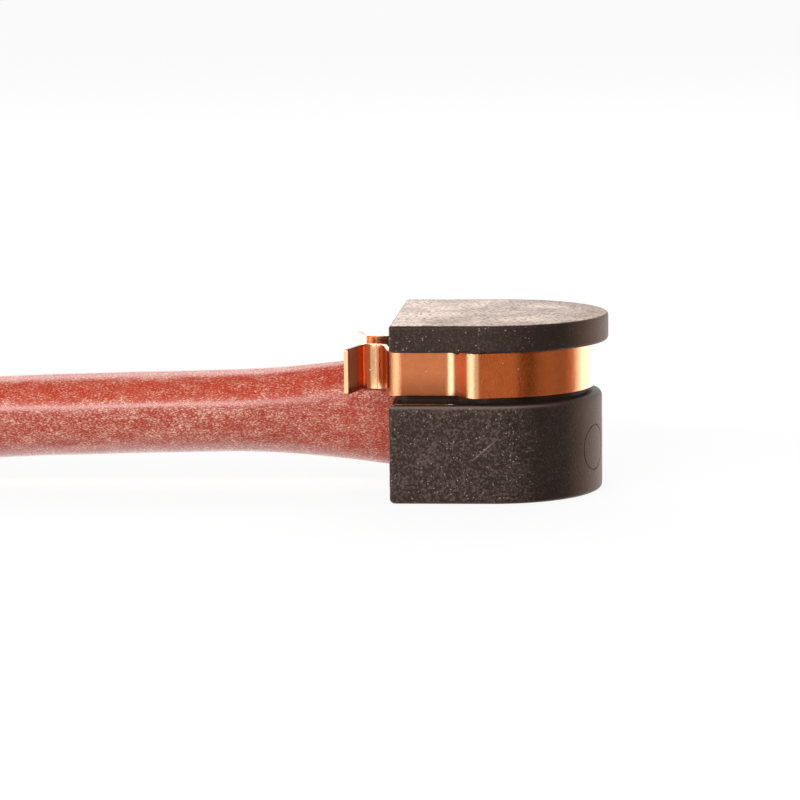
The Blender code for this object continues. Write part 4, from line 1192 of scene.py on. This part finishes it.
# %% [markdown]
# ## The plug's profile
#
# Boot, collar and barrel are one moulding. The boot has shallow grooves, so that it bends with the lead.
# The profile runs once round the plug's wall: out over the boot and the collar, along the barrel with the
# groove for the seal, back in through the mouth, past the pin's seat, and out through the cable entry.

# %% Draw and turn the plug
BOOT_RADIUS = 3.2
BOOT_GROOVES = (1.2, 2.7, 4.2)
GROOVE_WIDTH = 0.7
GROOVE_DEPTH = 0.25
COLLAR_RADIUS = 4.6
COLLAR_START = 6.5
COLLAR_END = 9.0
BARREL_RADIUS = 3.8
MOUTH_RADIUS = 2.9
MOUTH_DEPTH = 10.0
RING_GROOVE_FROM, RING_GROOVE_TO = 11.2, 12.6
RING_GROOVE_RADIUS = 3.2
PIN_SEAT = 9.5
PIN_HOLE_RADIUS = 1.25
CRIMP_ROOM_RADIUS = 1.5
ENTRY_RADIUS = 2.1
CHAMFER = 0.3
MOULD_ROUND = 0.06

plug_corners = [(ENTRY_RADIUS, 0.0), (BOOT_RADIUS - CHAMFER, 0.0), (BOOT_RADIUS, CHAMFER)]
slope = GROOVE_DEPTH / 2
for start in BOOT_GROOVES:
    plug_corners += [
        (BOOT_RADIUS, start), (BOOT_RADIUS - GROOVE_DEPTH, start + slope),
        (BOOT_RADIUS - GROOVE_DEPTH, start + GROOVE_WIDTH - slope), (BOOT_RADIUS, start + GROOVE_WIDTH)]
plug_corners += [
    (BOOT_RADIUS, COLLAR_START), (COLLAR_RADIUS - CHAMFER, COLLAR_START),
    (COLLAR_RADIUS, COLLAR_START + CHAMFER), (COLLAR_RADIUS, COLLAR_END - CHAMFER),
    (COLLAR_RADIUS - CHAMFER, COLLAR_END), (BARREL_RADIUS, COLLAR_END),
    (BARREL_RADIUS, RING_GROOVE_FROM), (RING_GROOVE_RADIUS, RING_GROOVE_FROM),
    (RING_GROOVE_RADIUS, RING_GROOVE_TO), (BARREL_RADIUS, RING_GROOVE_TO),
    (BARREL_RADIUS, PLUG_LENGTH - CHAMFER), (BARREL_RADIUS - CHAMFER, PLUG_LENGTH),
    (MOUTH_RADIUS + CHAMFER, PLUG_LENGTH), (MOUTH_RADIUS, PLUG_LENGTH - CHAMFER),
    (MOUTH_RADIUS, PLUG_LENGTH - MOUTH_DEPTH), (PIN_HOLE_RADIUS, PLUG_LENGTH - MOUTH_DEPTH),
    (PIN_HOLE_RADIUS, PIN_SEAT), (CRIMP_ROOM_RADIUS, PIN_SEAT),
    (CRIMP_ROOM_RADIUS, PLUG_ENTRY_DEPTH), (ENTRY_RADIUS, PLUG_ENTRY_DEPTH)]
plug_mesh = turned("plug", softened(plug_corners, MOULD_ROUND), 96)
print("plug profile:", len(plug_corners), "corners")

# %% [markdown]
# ## Flats on the collar
#
# The collar has two flats for the fingers, which also keep the plug from rolling. They are not round, so
# they are cut after the turning, by two plain boxes.

# %% Cut the two flats
COLLAR_FLATS = 8.5
CUTTER = 2.0


def box(name, low, high):
    """A plain box between two corners, for cutting."""
    (x0, y0, z0), (x1, y1, z1) = low, high
    return loft(name, [[(x, y0, z0), (x, y1, z0), (x, y1, z1), (x, y0, z1)] for x in (x0, x1)])


cutters = []
for side in (-1, 1):
    near = PLUG_HEIGHT + side * COLLAR_FLATS / 2
    far = near + side * CUTTER
    cutters.append(box(
        "flat", (PLUG_X - COLLAR_END - 1, -COLLAR_RADIUS - 1, min(near, far)),
        (PLUG_X - COLLAR_START + 1, COLLAR_RADIUS + 1, max(near, far))))
plug = finish_piece("plug", cut(plug_mesh, cutters), nylon, "plug", "plug_body")

# %% [markdown]
# ## The key rib
#
# A rib on the barrel lets the plug enter its socket only one way up. Its section has rounded top corners,
# and its two ends are drawn in a little, as a mould needs them.

# %% Raise the rib on the barrel
KEY_LENGTH = 7.0
KEY_HALF_WIDTH = 0.6
KEY_ROOT = 0.5                   # how far it runs on into the barrel
KEY_RISE = 0.7
KEY_ROUND = 0.15
KEY_DRAFT = 0.12

key_top = PLUG_HEIGHT + BARREL_RADIUS + KEY_RISE
key_foot = key_top - KEY_RISE - KEY_ROOT
key_section = rounded([
    (0.0, key_foot, 0.0), (-KEY_HALF_WIDTH, key_foot, 0.0), (-KEY_HALF_WIDTH, key_top, KEY_ROUND),
    (KEY_HALF_WIDTH, key_top, KEY_ROUND), (KEY_HALF_WIDTH, key_foot, 0.0), (0.0, key_foot, 0.0)],
    ROUND_STEP)[:-1]
key_end = PLUG_X - PLUG_LENGTH + CHAMFER
key_rings = []
key_steps = ((0.0, KEY_DRAFT), (KEY_DRAFT, 0.0), (KEY_LENGTH - KEY_DRAFT, 0.0), (KEY_LENGTH, KEY_DRAFT))
for place, inset in key_steps:
    ring = []
    for point in key_section:
        drop = inset if point.y > key_top - KEY_RISE else 0.0
        ring.append((key_end + place, point.x * (1.0 - inset / KEY_HALF_WIDTH), point.y - drop))
    key_rings.append(ring)
key = finish_piece("key_rib", loft("key_rib", key_rings), nylon, "plug")

# %% [markdown]
# ## The pin
#
# The pin is pushed in from the cable side until its shoulder meets the seat. Its tip is a half ball, so
# that it finds its socket, and its rear is bored for the wire. The grommet will fill the cable entry behind
# the sleeve, and the ring sit in its groove and stand a little proud, so that it seals when the plug is
# pushed in.

# %% Turn the pin
PIN_RADIUS = 1.15
PIN_TIP = 20.9
PIN_REAR = 5.9
CRIMP_BORE_RADIUS = 0.41
CRIMP_BORE_DEPTH = 2.1
CRIMP_RADIUS = 0.80
PIN_SHOULDER_RADIUS = 1.40
PIN_SHOULDER_FROM, PIN_SHOULDER_TO = 8.6, 9.4
PIN_BREAK = 0.05                 # sharp edges are broken by this much
AXIS_GAP = 0.02                  # the turned line stays this far from the axis

pin_nose = [Vector((r, PIN_TIP - PIN_RADIUS + s)) for r, s in arc((0.0, 0.0), PIN_RADIUS, 0.0, quarter, 10)]
pin_nose[-1].x = AXIS_GAP
pin_profile = [
    (AXIS_GAP, PIN_REAR + CRIMP_BORE_DEPTH), (CRIMP_BORE_RADIUS, PIN_REAR + CRIMP_BORE_DEPTH),
    (CRIMP_BORE_RADIUS, PIN_REAR), (CRIMP_RADIUS - PIN_BREAK, PIN_REAR),
    (CRIMP_RADIUS, PIN_REAR + PIN_BREAK), (CRIMP_RADIUS, PIN_SHOULDER_FROM),
    (PIN_SHOULDER_RADIUS - PIN_BREAK, PIN_SHOULDER_FROM),
    (PIN_SHOULDER_RADIUS, PIN_SHOULDER_FROM + PIN_BREAK),
    (PIN_SHOULDER_RADIUS, PIN_SHOULDER_TO - PIN_BREAK),
    (PIN_SHOULDER_RADIUS - PIN_BREAK, PIN_SHOULDER_TO), (PIN_RADIUS, PIN_SHOULDER_TO), *pin_nose]
pin = finish_piece("brass_pin", turned("brass_pin", pin_profile, 64), brass, "pin_brass", "plug_pin")

# %% [markdown]
# ## Grommet and ring
#
# The grommet is a row of ridges that grip the plug's wall. Its profile is built in a loop, one ridge at a
# time, and closed by its bore. The ring is the simplest profile of all, a circle turned about the axis.

# %% Turn the grommet and the ring
SEAL_ROUND = 0.08
SEAL_FROM = 3.1
SEAL_RIDGES = 5
SEAL_PITCH = 0.42
SEAL_LIP_RADIUS, SEAL_ROOT_RADIUS = 2.02, 1.72
SEAL_BORE_RADIUS = 0.75
RING_SECTION_RADIUS = 0.45
RING_CLEARANCE = 0.05

seal_corners = []
for ridge in range(SEAL_RIDGES):
    radius = SEAL_LIP_RADIUS if ridge % 2 == 0 else SEAL_ROOT_RADIUS
    start = SEAL_FROM + ridge * SEAL_PITCH
    seal_corners += [(radius, start), (radius, start + SEAL_PITCH)]
seal_corners += [(SEAL_BORE_RADIUS, SEAL_FROM + SEAL_RIDGES * SEAL_PITCH), (SEAL_BORE_RADIUS, SEAL_FROM)]
seal_mesh = turned("cable_grommet", softened(seal_corners, SEAL_ROUND), 64)
seal = finish_piece("cable_grommet", seal_mesh, seal_rubber, "seal_rubber", "cable_seal")

ring_center = (
    RING_GROOVE_RADIUS + RING_CLEARANCE + RING_SECTION_RADIUS, (RING_GROOVE_FROM + RING_GROOVE_TO) / 2)
ring_profile = arc(ring_center, RING_SECTION_RADIUS, 0.0, 2 * math.pi, 24)[:-1]
ring_mesh = turned("seal_ring_moulded", ring_profile, 96)
ring = finish_piece("seal_ring_moulded", ring_mesh, seal_rubber, "ring_rubber", "seal_ring")

# %% [markdown]
# ## What the lead is
#
# A cord has a fixed length, whatever its lie.

# %% [markdown]
# ## The floor and the background
#
# The object lies on a white card. To the camera, and in reflections, the background is plain white. The
# card itself is partly lit by the lamps and partly plain white, so that it stays white and still keeps a
# soft shadow.

# %% Lay the card
FLOOR_SIZE = 4000.0
PLAIN_WHITE = 0.88               # share of the card that is plain white to the camera
WHITE = (1.0, 1.0, 1.0, 1.0)

card, add, shader, grid = start_material("white card, matt", Roughness=0.9, Base_Color=tone("#F2F2F2"))
camera_ray = add("LightPath", {}, "Is Camera Ray")
glossy_ray = add("LightPath", {}, "Is Glossy Ray")
transmission_ray = add("LightPath", {}, "Is Transmission Ray")
seen = add("Math", {0: camera_ray, 1: glossy_ray}, operation="MAXIMUM")
seen = add("Math", {0: seen, 1: transmission_ray}, operation="MAXIMUM")
share = add("Math", {0: seen, 1: PLAIN_WHITE}, operation="MULTIPLY")
plain = add("Emission", {"Color": WHITE, "Strength": 1.0})
mixed = add("MixShader", {"Fac": share, 1: shader.outputs["BSDF"], 2: plain})
feed(card.node_tree.nodes["Material Output"], {"Surface": mixed})
half = FLOOR_SIZE / 2 * MM
floor_mesh = bpy.data.meshes.new("white_card")
corners = [(-half, -half, 0), (half, -half, 0), (half, half, 0), (-half, half, 0)]
floor_mesh.from_pydata(corners, [], [(0, 1, 2, 3)])
floor_mesh.materials.append(card)
floor = bpy.data.objects.new("white_card", floor_mesh)
floor.visible_glossy = False
scene.collection.objects.link(floor)
print("card:", FLOOR_SIZE / 1000, "m wide")

# %% [markdown]
# ## The studio
#
# A bent strip of metal shows the room as a row of upright bands, so the room matters as much as the bronze.
# It is a white cove, open on the camera's side: white behind and to the right, a broad soft window at the
# left front, a dim room behind the camera with a dark gap beside it. The world shader draws it by
# direction: the ramp goes once round the horizon, starting behind the object, past its left side, the front
# and its right.

# %% Draw the walls of the room
BRIGHTEST = 3.0
ROOM = [                         # degrees from the front, to the right positive; brightness
    (-180, 1.7), (-165, 2.0), (-150, 3.0), (-120, 3.0), (-100, 0.75), (-72, 0.68), (-64, 2.1), (-26, 2.1),
    (-21, 0.72), (26, 0.70), (29, 0.07), (47, 0.07), (56, 0.48), (80, 0.34), (110, 0.34), (115, 2.0),
    (140, 2.0), (180, 1.7),
]

world = bpy.data.worlds.new("white cove")
world.use_nodes = True
scene.world = world
tree = world.node_tree
tree.nodes.clear()
add = partial(add_node, tree)
looking = add("TexCoord", {}, "Generated")
to_right = add("SeparateXYZ", {"Vector": looking}, "X")
to_back = add("SeparateXYZ", {"Vector": looking}, "Y")
to_top = add("SeparateXYZ", {"Vector": looking}, "Z")
to_front = add("Math", {0: to_back, 1: -1.0}, operation="MULTIPLY")
azimuth = add("Math", {0: to_right, 1: to_front}, operation="ARCTAN2")
around = add("MapRange", {"Value": azimuth, "From Min": -math.pi, "From Max": math.pi})
ramp_color = add("ValToRGB", {"Fac": around})
elements = ramp_color.node.color_ramp.elements
while len(elements) < len(ROOM):
    elements.new(0.5)
for element, (degrees, brightness) in zip(elements, ROOM):
    element.position = (degrees + 180) / 360
    element.color = (*[brightness / BRIGHTEST] * 3, 1.0)
walls = add("Math", {0: ramp_color, 1: BRIGHTEST}, operation="MULTIPLY")
print("room drawn with", len(ROOM), "stops")

# %% [markdown]
# ## Ceiling and clear view
#
# Above the walls the room is dimmer, because a bright ceiling would take the depth out of the red sleeve.
# Camera rays pass all this by and see plain white.

# %% Close the room and clear the view
WALL_TOP, CEILING_BASE = 0.20, 0.45      # how far a direction points up
OVERHEAD_FROM, OVERHEAD_TO = 0.6, 0.9
MIDDLE_LEVEL = 0.75
CEILING_LEVEL = 0.35

over_wall = add("MapRange", {
    "Value": to_top, "From Min": WALL_TOP, "From Max": CEILING_BASE}, interpolation_type="SMOOTHSTEP")
middle_room = add("Mix", {0: over_wall, 2: walls, 3: MIDDLE_LEVEL}, 0, data_type="FLOAT")
overhead = add("MapRange", {
    "Value": to_top, "From Min": OVERHEAD_FROM, "From Max": OVERHEAD_TO}, interpolation_type="SMOOTHSTEP")
room = add("Mix", {0: overhead, 2: middle_room, 3: CEILING_LEVEL}, 0, data_type="FLOAT")
camera_ray = add("LightPath", {}, "Is Camera Ray")
transmission_ray = add("LightPath", {}, "Is Transmission Ray")
clear_view = add("Math", {0: camera_ray, 1: transmission_ray}, operation="MAXIMUM")
level = add("Mix", {0: clear_view, 2: room, 3: 1.0}, 0, data_type="FLOAT")
light = add("Background", {"Color": WHITE, "Strength": level})
output = tree.nodes.new("ShaderNodeOutputWorld")
feed(output, {"Surface": light})
print("ceiling at", CEILING_LEVEL, "and walls up to", BRIGHTEST)

# %% [markdown]
# ## Lamps
#
# Two large soft lamps work with the room. The one behind and above draws the soft shadow on the card and
# the pale top edge of the sleeve. The long narrow one, left of the camera and above it, draws the highlight
# along the sleeve. A lamp's power is set from the brightness that it should have as a surface: power / (pi
# x area).

# %% Hang the lamps
def soft_lamp(name, place, aim, width, depth, brightness):
    """A rectangular lamp, in millimetres, that faces the aim."""
    data = bpy.data.lights.new(name, "AREA")
    data.shape = "RECTANGLE"
    data.size = width * MM
    data.size_y = depth * MM
    data.energy = brightness * math.pi * data.size * data.size_y
    lamp = bpy.data.objects.new(name, data)
    lamp.location = Vector(place) * MM
    lamp.rotation_euler = (Vector(aim) - Vector(place)).to_track_quat("-Z", "Y").to_euler()
    scene.collection.objects.link(lamp)
    print(f"{name}: {brightness} bright, {width:.0f} by {depth:.0f} mm")
    return lamp


LAMPS_AIM = (-5.0, 0.0, 4.0)
soft_lamp("back lamp", (0.0, 260.0, 260.0), LAMPS_AIM, 300.0, 160.0, 3.2)
soft_lamp("front lamp", (-150.0, -300.0, 178.0), LAMPS_AIM, 300.0, 38.0, 29.0)
